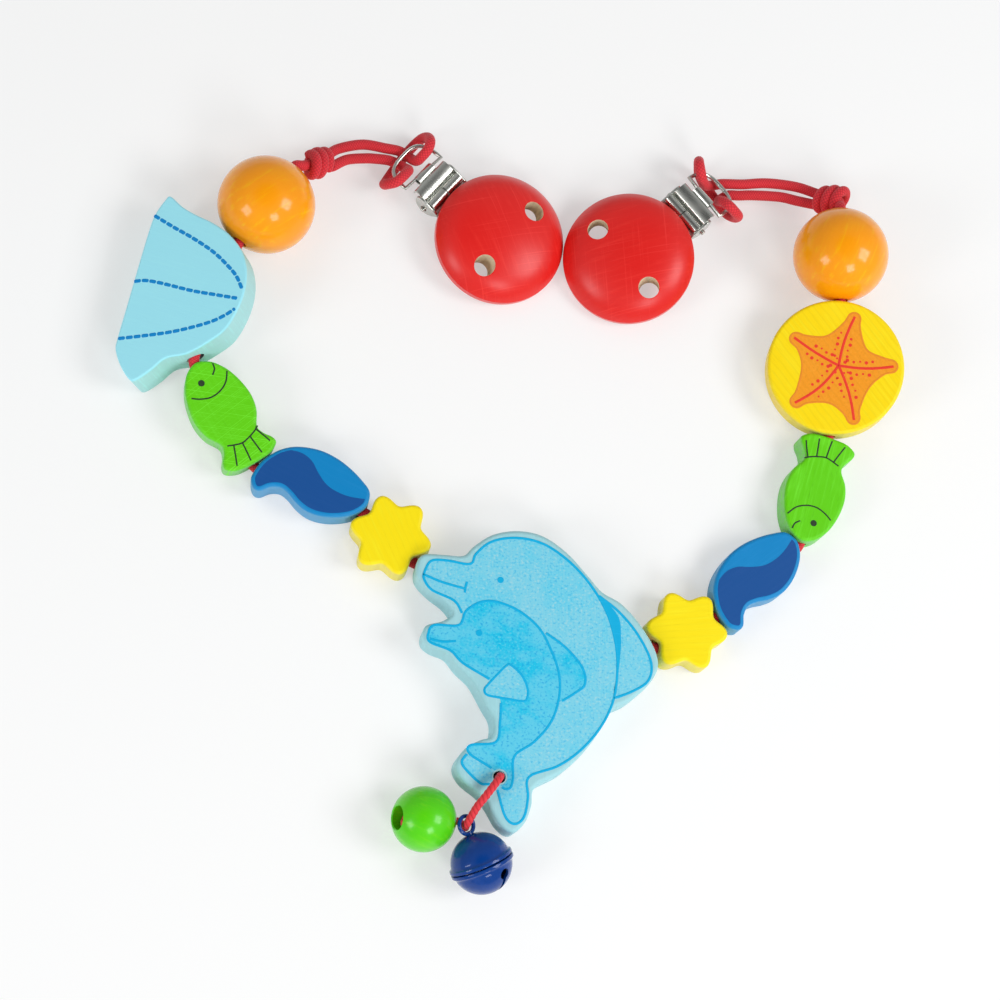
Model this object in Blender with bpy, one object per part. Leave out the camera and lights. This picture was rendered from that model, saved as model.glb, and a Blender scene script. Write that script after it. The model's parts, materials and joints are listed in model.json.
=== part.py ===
"""Pram chain toy: a heart of painted wooden beads on an elastic cord, with two clips and a pendant.

Metres, +Z up. The chain lies on a table at z = 0. The origin is on the underside of the dolphin
block, which is the middle of the chain, and +Y runs from the pendant towards the clips.
A bead's own frame has x along its bored hole, away from the dolphin, and z up through its face.
"""

import math

import bmesh
import bpy
from mathutils import Matrix, Vector

# General fits
BEAD_GAP = 0.0011
WAVE_GAP = 0.0014
FISH_GAP = 0.0014
TOUCH_GAP = 0.0003
CUT_OVERRUN = 0.002
MERGE_DISTANCE = 0.000001
EDGE_ROUND = 0.0011
ROUND_SEGMENTS = 2
ROUND_ANGLE_DEG = 40
SMOOTH_ANGLE_DEG = 35
CURVE_STEPS = 12
OUTLINE_STEPS = 2

# Elastic cord and the holes it runs through
STRING_DIAMETER = 0.0033
STRING_CLEARANCE = 0.0005
STRING_INSET = 0.0012
DOLPHIN_STRING_REACH = 0.0008
STRING_SIDES = 10
BORE_SIDES = 14
CORD_POINT_STEP = 0.0029
CORD_BEVEL_STEPS = 2
GAP_CHECK_STEPS = 8
GAP_NEIGHBOUR_COUNT = 3

# Dolphin block, a mother with her calf, and where the string and the pendant pass through it
DOLPHIN_WIDTH = 0.073
DOLPHIN_HEIGHT = 0.090
DOLPHIN_THICKNESS = 0.014
DOLPHIN_OUTLINE_SHARES = [
    (-0.500, 0.318), (-0.468, 0.345), (-0.390, 0.345), (-0.310, 0.344), (-0.268, 0.376),
    (-0.190, 0.418), (-0.085, 0.434), (0.020, 0.418), (0.120, 0.362), (0.205, 0.286),
    (0.262, 0.233), (0.340, 0.196), (0.415, 0.130), (0.476, 0.046), (0.488, -0.018),
    (0.445, -0.078), (0.370, -0.130), (0.296, -0.162), (0.252, -0.222), (0.180, -0.300),
    (0.090, -0.368), (-0.020, -0.418), (-0.034, -0.476), (-0.060, -0.530), (-0.108, -0.564),
    (-0.160, -0.540), (-0.202, -0.484), (-0.240, -0.444), (-0.312, -0.396), (-0.338, -0.346),
    (-0.300, -0.296), (-0.240, -0.268), (-0.196, -0.254), (-0.188, -0.200), (-0.222, -0.148),
    (-0.272, -0.076), (-0.330, -0.030), (-0.376, 0.014), (-0.436, 0.034), (-0.472, 0.062),
    (-0.462, 0.104), (-0.392, 0.122), (-0.356, 0.148), (-0.384, 0.184), (-0.448, 0.224),
    (-0.498, 0.270),
]
DOLPHIN_LEFT_MOUTH_SHARES = (-0.496, 0.333)
DOLPHIN_RIGHT_MOUTH_SHARES = (0.468, 0.072)
LEFT_STAR_GAP = 0.0014
RIGHT_STAR_GAP = 0.0030
RIGHT_BALL_GAP = 0.0006
PENDANT_HOLE_SHARES = (-0.163, -0.387)
PENDANT_HOLE_DIAMETER = 0.0037
TAIL_SIDE_SHARES = (-0.203, -0.4844)
KNOT_RECESS_DIAMETER = 0.0068
KNOT_RECESS_DEPTH = 0.0052

# Star beads
STAR_TIP_RADIUS = 0.0127
STAR_VALLEY_RADIUS = 0.0096
STAR_THICKNESS = 0.010
STAR_TIP_COUNT = 6
STAR_POINTS_PER_TIP = 6

# Wave beads, x along the hole
WAVE_LENGTH = 0.0357
WAVE_WIDTH = 0.0195
WAVE_THICKNESS = 0.010
WAVE_OUTLINE_SHARES = [
    (-0.478, -0.250), (-0.425, -0.375), (-0.365, -0.370), (-0.300, -0.255), (-0.222, -0.200),
    (-0.140, -0.240), (-0.045, -0.330), (0.060, -0.385), (0.175, -0.375), (0.300, -0.300),
    (0.420, -0.160), (0.490, 0.010), (0.502, 0.150), (0.470, 0.310), (0.370, 0.425),
    (0.250, 0.520), (0.120, 0.585), (-0.010, 0.605), (-0.130, 0.575), (-0.250, 0.500),
    (-0.345, 0.380), (-0.410, 0.235), (-0.455, 0.080), (-0.478, -0.090),
]
WAVE_BACK_SHARE = 0.474
WAVE_FRONT_SHARE = 0.500

# Fish beads, nose at +x
FISH_LENGTH = 0.0352
FISH_WIDTH = 0.0195
FISH_THICKNESS = 0.010
FISH_HALF_OUTLINE_SHARES = [
    (0.470, 0.155), (0.408, 0.280), (0.300, 0.395), (0.160, 0.470), (0.020, 0.492),
    (-0.110, 0.440), (-0.225, 0.322), (-0.300, 0.350), (-0.372, 0.440), (-0.430, 0.448),
    (-0.480, 0.310), (-0.494, 0.130),
]
FISH_END_SHARE = 0.500

# Shell bead, x along the hole
SHELL_LENGTH = 0.0583
SHELL_WIDTH = 0.0355
SHELL_THICKNESS = 0.0125
SHELL_OUTLINE_SHARES = [
    (0.463, 0.655), (0.436, 0.690), (0.350, 0.728), (0.265, 0.730), (0.110, 0.712),
    (-0.024, 0.694), (-0.180, 0.672), (-0.347, 0.650), (-0.408, 0.630), (-0.478, 0.545),
    (-0.536, 0.430), (-0.533, 0.368), (-0.460, 0.270), (-0.380, 0.185), (-0.325, 0.020),
    (-0.240, -0.115), (-0.145, -0.222), (-0.020, -0.265), (0.098, -0.259), (0.200, -0.208),
    (0.285, -0.110), (0.350, 0.045), (0.385, 0.215), (0.402, 0.375), (0.425, 0.520),
]
SHELL_BACK_SHARE = 0.323
SHELL_FRONT_SHARE = 0.334

# Starfish disc
STARFISH_DISC_DIAMETER = 0.0427
STARFISH_DISC_THICKNESS = 0.0105
STARFISH_DISC_SIDES = 36

# Names of the stretches of string inside the beads, outward from the dolphin
LEFT_STRING_NAMES = ["left_star_string", "left_wave_string", "left_fish_string", "shell_string",
                     "left_ball_string"]
RIGHT_STRING_NAMES = ["right_star_string", "right_wave_string", "right_fish_string",
                      "starfish_string", "right_ball_string"]

# Round balls on the cord
BALL_DIAMETER = 0.030
BALL_SEGMENTS = 24
BALL_RINGS = 11

# How each arm runs, outward from the dolphin: headings in the plane, pitch and roll in degrees
LEFT_STAR_HEADING_DEG = 134.6
LEFT_WAVE_HEADING_DEG = 158.3
LEFT_FISH_HEADING_DEG = 122.4
LEFT_FISH_PITCH_DEG = 7.0
SHELL_HEADING_DEG = 72.4
SHELL_PITCH_DEG = 5.0
SHELL_ROLL_DEG = -13.0
LEFT_BALL_HEADING_DEG = 57.9
LEFT_BALL_PITCH_DEG = 2.0
RIGHT_STAR_HEADING_DEG = 25.5
RIGHT_WAVE_HEADING_DEG = 41.0
RIGHT_FISH_HEADING_DEG = 73.0
STARFISH_DISC_HEADING_DEG = 84.9
STARFISH_DISC_PITCH_DEG = 8.0
STARFISH_DISC_ROLL_DEG = -9.0
RIGHT_BALL_HEADING_DEG = 89.0
RIGHT_BALL_PITCH_DEG = 6.0

# Knots that gather the string into a loop beyond each ball
KNOT_LENGTH = 0.0096
KNOT_RADIUS = 0.0046
KNOT_WAIST_RADIUS = 0.0037
KNOT_END_RADIUS = 0.0030
KNOT_WRAP_COUNT = 3
KNOT_POINTS_PER_WRAP = 4
KNOT_SEGMENTS = 14
LEFT_KNOT_OFFSET = (0.0034, -0.0022, -0.0020)
LEFT_KNOT_HEADING_DEG = 32.0
LEFT_KNOT_PITCH_DEG = -35.0
RIGHT_KNOT_OFFSET = (0.0041, -0.0028, -0.0022)
RIGHT_KNOT_HEADING_DEG = 160.0
RIGHT_KNOT_PITCH_DEG = -36.0

# Clips: wooden disc, stamped plate, lever, pin, pad, rivet and ring. A clip's own frame has its
# origin under the middle of the disc, x towards the ring and z up through the disc
DISC_DIAMETER = 0.0415
DISC_DOME_STEPS = 6
DISC_THICKNESS = 0.0110
DISC_RIM_HEIGHT = 0.0034
DISC_EDGE_ROUND = 0.0013
DISC_DOME_POWER = 2.6
DISC_SPREAD_POWER = 0.9
DISC_CORNER_SHARE = 0.3
DISC_SEGMENTS = 32
VENT_DIAMETER = 0.0065
VENT_SEGMENTS = 16
VENT_SPACING = 0.0245
VENT_OFFSET = -0.002
DISC_PAIR_GAP = 0.0006
DISC_MEETING_X = 0.0096
DISC_MEETING_Y = 0.1333
DISC_PAIR_LINE_DEG = -6.7
LEFT_CLIP_HEADING_DEG = 140.5
RIGHT_CLIP_HEADING_DEG = 40.5
PLATE_THICKNESS = 0.0008
PLATE_WIDTH = 0.0155
PLATE_TAIL = 0.009
EYE_REACH = 0.0310
EYE_NECK = 0.0020
EYE_WIDTH = 0.0070
EYE_WALL = 0.0007
PIN_DIAMETER = 0.0016
PIN_OVERHANG = 0.0009
PIN_TO_EYE = 0.0070
PIN_DROP = 0.0034
EAR_BEHIND_PIN = 0.0035
EAR_LENGTH = 0.0070
EAR_DEPTH = 0.0050
WINDOW_PAST_PIN = 0.0006
WINDOW_LENGTH = 0.0024
WINDOW_WIDTH = 0.0115
KNUCKLE_WALL = 0.0008
LEVER_THICKNESS = 0.0009
LEVER_SIDE_CLEARANCE = 0.0004
LEVER_TIP_X = 0.0040
PAD_X = 0.0052
PAD_RIVET_CLEARANCE = 0.0007
PAD_WIDTH = 0.0105
PAD_THICKNESS = 0.0017
PAD_TOOTH_COUNT = 4
PAD_TOOTH_DEPTH = 0.0005
RIVET_TO_EYE = 0.0138
RIVET_SHANK_DIAMETER = 0.0024
RIVET_HEAD_DIAMETER = 0.0046
RIVET_HEAD_HEIGHT = 0.0007
RIVET_SHANK_LENGTH = 0.0060
RIVET_SEGMENTS = 16
RUNNING_CLEARANCE = 0.0003
LEFT_LEVER_OPEN_DEG = 0.0
RIGHT_LEVER_OPEN_DEG = 6.0
RING_WIRE_DIAMETER = 0.0013
RING_WIDTH = 0.0170
RING_LENGTH = 0.0092
RING_SQUARENESS = 0.62
RING_STEPS = 22
RING_FAR_HEIGHT = 0.0082

# Route of each loop from the knot, round its ring and back again, as x and y in the ring's frame
# (x away from the disc, y to the left of it) and z above the table
LEFT_LOOP_ROUTE = [
    (0.0264, 0.0108, 0.0054), (0.0218, 0.0044, 0.0052),
    (0.0155, 0.0004, 0.0053), (0.0120, -0.0016, 0.0054), (0.0092, -0.0022, 0.0054),
    (0.0064, -0.0021, 0.0060), (0.0044, -0.0022, 0.0078), (0.0036, -0.0036, 0.0101),
    (0.0034, -0.0060, 0.0114), (0.0048, -0.0086, 0.0110), (0.0072, -0.0104, 0.0082),
    (0.0092, -0.0104, 0.0050), (0.0102, -0.0086, 0.0026), (0.0104, -0.0050, 0.0018),
    (0.0100, 0.0000, 0.0018), (0.0094, 0.0048, 0.0018), (0.0086, 0.0084, 0.0030),
    (0.0076, 0.0104, 0.0060), (0.0056, 0.0106, 0.0094), (0.0036, 0.0092, 0.0112),
    (0.0030, 0.0066, 0.0115), (0.0034, 0.0040, 0.0102), (0.0044, 0.0022, 0.0078),
    (0.0064, 0.0018, 0.0060), (0.0092, 0.0020, 0.0054), (0.0122, 0.0030, 0.0054),
    (0.0154, 0.0052, 0.0053), (0.0182, 0.0075, 0.0052), (0.0220, 0.0118, 0.0054),
]
RIGHT_LOOP_ROUTE = [
    (0.0300, -0.0148, 0.0062), (0.0236, -0.0080, 0.0056), (0.0170, -0.0034, 0.0055),
    (0.0135, -0.0006, 0.0055), (0.0112, 0.0012, 0.0054), (0.0088, 0.0025, 0.0053),
    (0.0066, 0.0035, 0.0066), (0.0050, 0.0046, 0.0100), (0.0046, 0.0062, 0.0134),
    (0.0062, 0.0090, 0.0138), (0.0086, 0.0106, 0.0100), (0.0094, 0.0104, 0.0064),
    (0.0090, 0.0086, 0.0032), (0.0084, 0.0052, 0.0018), (0.0080, 0.0010, 0.0018),
    (0.0076, -0.0034, 0.0018), (0.0072, -0.0074, 0.0026), (0.0070, -0.0102, 0.0054),
    (0.0064, -0.0112, 0.0092), (0.0050, -0.0102, 0.0126), (0.0042, -0.0078, 0.0142),
    (0.0044, -0.0050, 0.0124), (0.0052, -0.0036, 0.0088), (0.0066, -0.0029, 0.0064),
    (0.0086, -0.0028, 0.0054), (0.0108, -0.0034, 0.0054), (0.0132, -0.0054, 0.0055),
    (0.0170, -0.0082, 0.0055), (0.0236, -0.0140, 0.0056), (0.0268, -0.0184, 0.0062),
]
STRAND_SPREAD = 0.0040

# Pendant: one cord knotted under the dolphin, a jingle bell and a green ball
PENDANT_CORD_DIAMETER = 0.0024
PENDANT_KNOT_DIAMETER = 0.0052
PENDANT_KNOT_SEGMENTS = 14
PENDANT_KNOT_RINGS = 8
PENDANT_STEM_DROP = 0.0010
GREEN_BALL_DIAMETER = 0.019
GREEN_BALL_OFFSET = (-0.0186, -0.0032)
GREEN_BALL_HEADING_DEG = 180.0
GREEN_BALL_PITCH_DEG = 24.0
GREEN_BALL_BORE = 0.0036
GREEN_BALL_MOUTH_DIAMETER = 0.0068
GREEN_BALL_MOUTH_DEPTH = 0.0062
BELL_DIAMETER = 0.0180
BELL_WALL = 0.0008
BELL_FLANGE = 0.0006
BELL_FLANGE_THICKNESS = 0.0007
BELL_SLOT_WIDTH = 0.0015
BELL_SLOT_HOLE_DIAMETER = 0.0028
BELL_SLOT_REACH_DEG = 62.0
BELL_SEGMENTS = 22
BELL_RINGS = 6
BELL_OFFSET = (-0.0018, -0.0156)
BELL_HEADING_DEG = 114.0
BELL_PITCH_DEG = 13.0
BELL_TURN_DEG = 62.0
BELL_EYE_TURN_DEG = -60.0
BELL_EYE_WIRE = 0.0012
BELL_EYE_DIAMETER = 0.0064
BELL_EYE_STEM = 0.0016
BELL_EYE_FOOT_DIAMETER = 0.0036
BELL_EYE_FOOT_HEIGHT = 0.0008
BELL_EYE_SEGMENTS = 18
BELL_EYE_SIDES = 8
BELL_PELLET_DIAMETER = 0.0046
BELL_PELLET_BALL_STEPS = 2
PENDANT_RISE_ROUTE = [
    (-0.0130, -0.0364, 0.0172), (-0.0148, -0.0388, 0.0181), (-0.0168, -0.0414, 0.0176),
    (-0.0188, -0.0440, 0.0158),
]
PENDANT_EYE_DROP = 0.0046
PENDANT_MOUTH_LEAD = 0.0020

# Colours, linear, from the photograph
PAINT_SKY = (0.16, 0.52, 0.80)
PAINT_PALE_BLUE = (0.27, 0.61, 0.74)
PAINT_WAVE = (0.02, 0.09, 0.34)
PAINT_YELLOW = (1.0, 0.78, 0.02)
PAINT_GREEN = (0.12, 0.60, 0.01)
PAINT_ORANGE = (1.0, 0.35, 0.01)
PAINT_RED = (0.70, 0.02, 0.015)
CORD_RED = (0.62, 0.015, 0.025)
ENAMEL_BLUE = (0.01, 0.08, 0.32)
NICKEL = (0.62, 0.63, 0.60)
PAD_WHITE = (0.80, 0.80, 0.78)
PAINT_ROUGHNESS = 0.45
GLOSS_ROUGHNESS = 0.25
CORD_ROUGHNESS = 0.85
METAL_ROUGHNESS = 0.28

UP = Vector((0, 0, 1))


def clear_scene():
    for item in list(bpy.data.objects):
        bpy.data.objects.remove(item, do_unlink=True)


def finish_for(name, colour, roughness, metallic=0.0):
    finish = bpy.data.materials.new(name)
    finish.use_nodes = True
    shader = finish.node_tree.nodes["Principled BSDF"]
    shader.inputs["Base Color"].default_value = (*colour, 1.0)
    shader.inputs["Roughness"].default_value = roughness
    shader.inputs["Metallic"].default_value = metallic
    return finish


def make_object(name, bm, finish, frame=Matrix(), smooth=True, pivot=Vector()):
    """A named object from a bmesh in its own frame, its origin at the pivot in that frame."""
    bmesh.ops.translate(bm, verts=bm.verts, vec=-pivot)
    bmesh.ops.remove_doubles(bm, verts=bm.verts, dist=MERGE_DISTANCE)
    bmesh.ops.recalc_face_normals(bm, faces=bm.faces)
    mesh = bpy.data.meshes.new(name)
    bm.to_mesh(mesh)
    bm.free()
    if smooth:
        mesh.shade_smooth()
        mesh.set_sharp_from_angle(angle=math.radians(SMOOTH_ANGLE_DEG))
    item = bpy.data.objects.new(name, mesh)
    bpy.context.collection.objects.link(item)
    item.matrix_world = frame @ Matrix.Translation(pivot)
    if finish:
        mesh.materials.append(finish)
    return item


def hide_as_tool(item):
    item.hide_render = True
    item.display_type = "WIRE"


def combine(item, tool_bm, operation, frame):
    """Cut a shape out of an object, or join one to it, by a Boolean modifier."""
    tool = make_object(f"{item.name}_{operation.lower()}", tool_bm, None, frame)
    hide_as_tool(tool)
    change = item.modifiers.new(operation.title(), "BOOLEAN")
    change.operation = operation
    change.solver = "EXACT"
    change.object = tool


def cut(item, tool_bm, frame):
    combine(item, tool_bm, "DIFFERENCE", frame)


def join(item, tool_bm, frame):
    combine(item, tool_bm, "UNION", frame)


def turned(degrees, axis):
    return Matrix.Rotation(math.radians(degrees), 4, axis)


def flat_direction(heading_deg):
    angle = math.radians(heading_deg)
    return Vector((math.cos(angle), math.sin(angle), 0))


def frame_at(place, heading_deg, pitch_deg=0.0, roll_deg=0.0):
    """A frame whose x points along the heading, nose up by the pitch, rolled about x."""
    return (Matrix.Translation(place) @ turned(heading_deg, "Z")
            @ turned(-pitch_deg, "Y") @ turned(roll_deg, "X"))


def smooth_curve(points, per_span, closed):
    """Points along a Catmull-Rom curve through the given ones."""
    count = len(points)
    spans = count if closed else count - 1
    result = []
    for i in range(spans):
        if closed:
            a, b, c, d = (points[(i + k) % count] for k in (-1, 0, 1, 2))
        else:
            a, b, c, d = (points[min(max(i + k, 0), count - 1)] for k in (-1, 0, 1, 2))
        for step in range(per_span):
            t = step / per_span
            result.append(0.5 * (2 * b + (c - a) * t + (2 * a - 5 * b + 4 * c - d) * t**2
                                 + (3 * b - a - 3 * c + d) * t**3))
    if not closed:
        result.append(points[-1].copy())
    return result


def outline_from(shares, length, width):
    points = [Vector((x * length, y * width, 0)) for x, y in shares]
    return smooth_curve(points, OUTLINE_STEPS, closed=True)


def slab_bm(outline, thickness):
    """A prism of the outline, its middle plane at z = 0."""
    bm = bmesh.new()
    low = [bm.verts.new((p.x, p.y, -thickness / 2)) for p in outline]
    face = bm.faces.new(low)
    raised = bmesh.ops.extrude_face_region(bm, geom=[face])
    verts = [v for v in raised["geom"] if isinstance(v, bmesh.types.BMVert)]
    bmesh.ops.translate(bm, verts=verts, vec=(0, 0, thickness))
    return bm


def round_edges(item):
    bevel = item.modifiers.new("Rounded edges", "BEVEL")
    bevel.width = EDGE_ROUND
    bevel.segments = ROUND_SEGMENTS
    bevel.limit_method = "ANGLE"
    bevel.angle_limit = math.radians(ROUND_ANGLE_DEG)


def box_bm(low, high):
    bm = bmesh.new()
    size = Vector(high) - Vector(low)
    middle = (Vector(high) + Vector(low)) / 2
    place = Matrix.Translation(middle) @ Matrix.Diagonal((*size, 1))
    bmesh.ops.create_cube(bm, size=1, matrix=place)
    return bm


def rod_bm(start, end, radius, sides):
    """A closed round rod between two points."""
    bm = bmesh.new()
    along = Vector(end) - Vector(start)
    turn = along.to_track_quat("Z", "Y").to_matrix().to_4x4()
    place = Matrix.Translation((Vector(start) + Vector(end)) / 2) @ turn
    bmesh.ops.create_cone(bm, cap_ends=True, segments=sides, radius1=radius, radius2=radius,
                          depth=along.length, matrix=place)
    return bm


def ball_bm(radius):
    bm = bmesh.new()
    bmesh.ops.create_uvsphere(bm, u_segments=PENDANT_KNOT_SEGMENTS, v_segments=PENDANT_KNOT_RINGS,
                              radius=radius)
    return bm


def turned_bm(profile, segments, axis="Z", closed=False):
    """A profile of (radius, height) pairs spun round an axis."""
    bm = bmesh.new()
    upright = axis == "Z"
    verts = [bm.verts.new((r, 0, h) if upright else (h, 0, r)) for r, h in profile]
    edges = [bm.edges.new(pair) for pair in zip(verts, verts[1:])]
    if closed:
        edges.append(bm.edges.new((verts[-1], verts[0])))
    bmesh.ops.spin(bm, geom=verts + edges, cent=(0, 0, 0), angle=math.tau, steps=segments,
                   axis=(0, 0, 1) if upright else (1, 0, 0), use_merge=True)
    return bm


def ball_profile(radius, bore_radius, rings, mouth_radius=None, mouth_depth=0.0):
    """Section of a ball bored along its axis, as (radius, height) pairs, closed."""
    front = mouth_radius or bore_radius
    first = math.asin(front / radius)
    last = math.pi - math.asin(bore_radius / radius)
    profile = []
    for i in range(rings + 1):
        angle = first + (last - first) * i / rings
        profile.append((radius * math.sin(angle), radius * math.cos(angle)))
    if mouth_radius:
        floor = radius * math.cos(first) - mouth_depth
        profile += [(bore_radius, floor), (mouth_radius, floor)]
    return profile


def cord_object(name, points, diameter, finish, pivot):
    """A cord as a curve of one spline with round section and filled ends, its origin at the pivot."""
    curve = bpy.data.curves.new(name, "CURVE")
    curve.dimensions = "3D"
    curve.bevel_depth = diameter / 2
    curve.bevel_resolution = CORD_BEVEL_STEPS
    curve.use_fill_caps = True
    spline = curve.splines.new("POLY")
    spline.points.add(len(points) - 1)
    for node, place in zip(spline.points, points):
        node.co = (*(place - pivot), 1.0)
    curve.materials.append(finish)
    item = bpy.data.objects.new(name, curve)
    item.location = pivot
    bpy.context.collection.objects.link(item)
    return item


def evenly_spaced(points, step):
    """The same route with points about one step apart."""
    fine = smooth_curve(points, CURVE_STEPS, closed=False)
    lengths = [0.0]
    for a, b in zip(fine, fine[1:]):
        lengths.append(lengths[-1] + (b - a).length)
    count = max(2, round(lengths[-1] / step))
    result, j = [], 0
    for i in range(count + 1):
        target = lengths[-1] * i / count
        while j < len(lengths) - 2 and lengths[j + 1] < target:
            j += 1
        share = (target - lengths[j]) / (lengths[j + 1] - lengths[j])
        result.append(fine[j].lerp(fine[j + 1], min(max(share, 0), 1)))
    return result


def route_length(points):
    return sum((b - a).length for a, b in zip(points, points[1:]))


def least_gap(points, diameter):
    """The least air between stretches of one cord that aren't neighbours along it."""
    fine = evenly_spaced(points, diameter / GAP_CHECK_STEPS)
    apart = diameter * GAP_NEIGHBOUR_COUNT
    travelled = [0.0]
    for a, b in zip(fine, fine[1:]):
        travelled.append(travelled[-1] + (b - a).length)
    least = math.inf
    for i, a in enumerate(fine):
        for j in range(i + 1, len(fine)):
            if travelled[j] - travelled[i] > apart:
                least = min(least, (a - fine[j]).length - diameter)
    return least


def bore(item, start, end, diameter, frame, sides=BORE_SIDES):
    """A straight drilled hole whose ends run past the faces."""
    start, end = Vector(start), Vector(end)
    past = (end - start).normalized() * CUT_OVERRUN
    cut(item, rod_bm(start - past, end + past, diameter / 2, sides), frame)


def string_between(name, start, end, finish, pivot):
    """The string inside one bead, kept just inside both mouths of the hole."""
    inset = (end - start).normalized() * STRING_INSET
    bm = rod_bm(start + inset, end - inset, STRING_DIAMETER / 2, STRING_SIDES)
    make_object(name, bm, finish, pivot=pivot)


def seat_height(outline, thickness, pitch_deg, roll_deg):
    """How high the middle of a tilted slab lies when its lowest corner touches the table."""
    tilt = frame_at((0, 0, 0), 0, pitch_deg, roll_deg)
    corners = [tilt @ Vector((p.x, p.y, -thickness / 2)) for p in outline]
    return -min(corner.z for corner in corners)


def star_outline():
    points = []
    count = STAR_TIP_COUNT * STAR_POINTS_PER_TIP
    for i in range(count):
        angle = math.tau * i / count
        swell = (1 - math.cos(STAR_TIP_COUNT * angle)) / 2
        radius = STAR_VALLEY_RADIUS + (STAR_TIP_RADIUS - STAR_VALLEY_RADIUS) * swell
        points.append(Vector((radius * math.cos(angle), radius * math.sin(angle), 0)))
    return points


def disc_outline():
    radius = STARFISH_DISC_DIAMETER / 2
    angles = [math.tau * i / STARFISH_DISC_SIDES for i in range(STARFISH_DISC_SIDES)]
    return [Vector((radius * math.cos(a), radius * math.sin(a), 0)) for a in angles]


def fish_outline(nose_sign):
    """The fish seen from above, its nose at +x or -x of the bead's frame."""
    lower = [(x, -y) for x, y in reversed(FISH_HALF_OUTLINE_SHARES)]
    shares = [(FISH_END_SHARE, 0.0)] + FISH_HALF_OUTLINE_SHARES + lower
    shares = [(nose_sign * x, nose_sign * y) for x, y in shares]
    return outline_from(shares, FISH_LENGTH, FISH_WIDTH)


def wave_outline(turn_sign):
    """The wave seen from above, as drilled, or turned end for end."""
    shares = [(turn_sign * x, turn_sign * y) for x, y in WAVE_OUTLINE_SHARES]
    return outline_from(shares, WAVE_LENGTH, WAVE_WIDTH)


class Bead:
    """One bead of an arm: its shape, how it lies, and how far its hole reaches each way."""

    def __init__(self, name, paint, heading, back, front, outline=None, thickness=0.0,
                 pitch=0.0, roll=0.0, gap=BEAD_GAP):
        self.name, self.paint, self.heading, self.gap = name, paint, heading, gap
        self.back, self.front = back, front
        self.outline, self.thickness = outline, thickness
        self.pitch, self.roll = pitch, roll

    def height(self):
        if self.outline is None:
            return BALL_DIAMETER / 2
        return seat_height(self.outline, self.thickness, self.pitch, self.roll)

    def lay(self, junction, next_gap):
        """Place the bead outward from a junction, the middle of a gap, and return the next."""
        level = math.cos(math.radians(self.pitch))
        forward = flat_direction(self.heading)
        centre = junction + forward * (self.gap / 2 + self.back * level)
        centre.z = self.height()
        self.junction = junction
        self.frame = frame_at(centre, self.heading, self.pitch, self.roll)
        ahead = centre + forward * (self.front * level + next_gap / 2)
        return Vector((ahead.x, ahead.y, 0))

    def mouth(self, side):
        """The middle of the hole where it leaves the bead, in world places."""
        reach = self.front if side > 0 else -self.back
        return self.frame @ Vector((reach, 0, 0))

    def build(self, string_name, string_finish):
        hole = STRING_DIAMETER + 2 * STRING_CLEARANCE
        if self.outline is None:
            profile = ball_profile(BALL_DIAMETER / 2, hole / 2, BALL_RINGS)
            bm = turned_bm(profile, BALL_SEGMENTS, axis="X", closed=True)
            make_object(self.name, bm, self.paint, self.frame)
        else:
            item = make_object(self.name, slab_bm(self.outline, self.thickness), self.paint,
                               self.frame)
            round_edges(item)
            bore(item, (-self.back, 0, 0), (self.front, 0, 0), hole, self.frame)
        bend = Vector((self.junction.x, self.junction.y, self.mouth(-1).z))
        string_between(string_name, self.mouth(-1), self.mouth(1), string_finish, bend)


def left_arm(paints):
    ball = BALL_DIAMETER / 2
    return [
        Bead("left_star", paints["yellow"], LEFT_STAR_HEADING_DEG, STAR_VALLEY_RADIUS,
             STAR_VALLEY_RADIUS, star_outline(), STAR_THICKNESS, gap=LEFT_STAR_GAP),
        Bead("left_wave", paints["wave"], LEFT_WAVE_HEADING_DEG, WAVE_LENGTH * WAVE_FRONT_SHARE,
             WAVE_LENGTH * WAVE_BACK_SHARE, wave_outline(-1), WAVE_THICKNESS, gap=WAVE_GAP),
        Bead("left_fish", paints["green"], LEFT_FISH_HEADING_DEG, FISH_LENGTH * FISH_END_SHARE,
             FISH_LENGTH * FISH_END_SHARE, fish_outline(1), FISH_THICKNESS, LEFT_FISH_PITCH_DEG,
             gap=FISH_GAP),
        Bead("shell_block", paints["pale blue"], SHELL_HEADING_DEG,
             SHELL_LENGTH * SHELL_BACK_SHARE, SHELL_LENGTH * SHELL_FRONT_SHARE,
             outline_from(SHELL_OUTLINE_SHARES, SHELL_LENGTH, SHELL_WIDTH), SHELL_THICKNESS,
             SHELL_PITCH_DEG, SHELL_ROLL_DEG),
        Bead("left_ball", paints["orange"], LEFT_BALL_HEADING_DEG, ball, ball,
             pitch=LEFT_BALL_PITCH_DEG),
    ]


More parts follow.
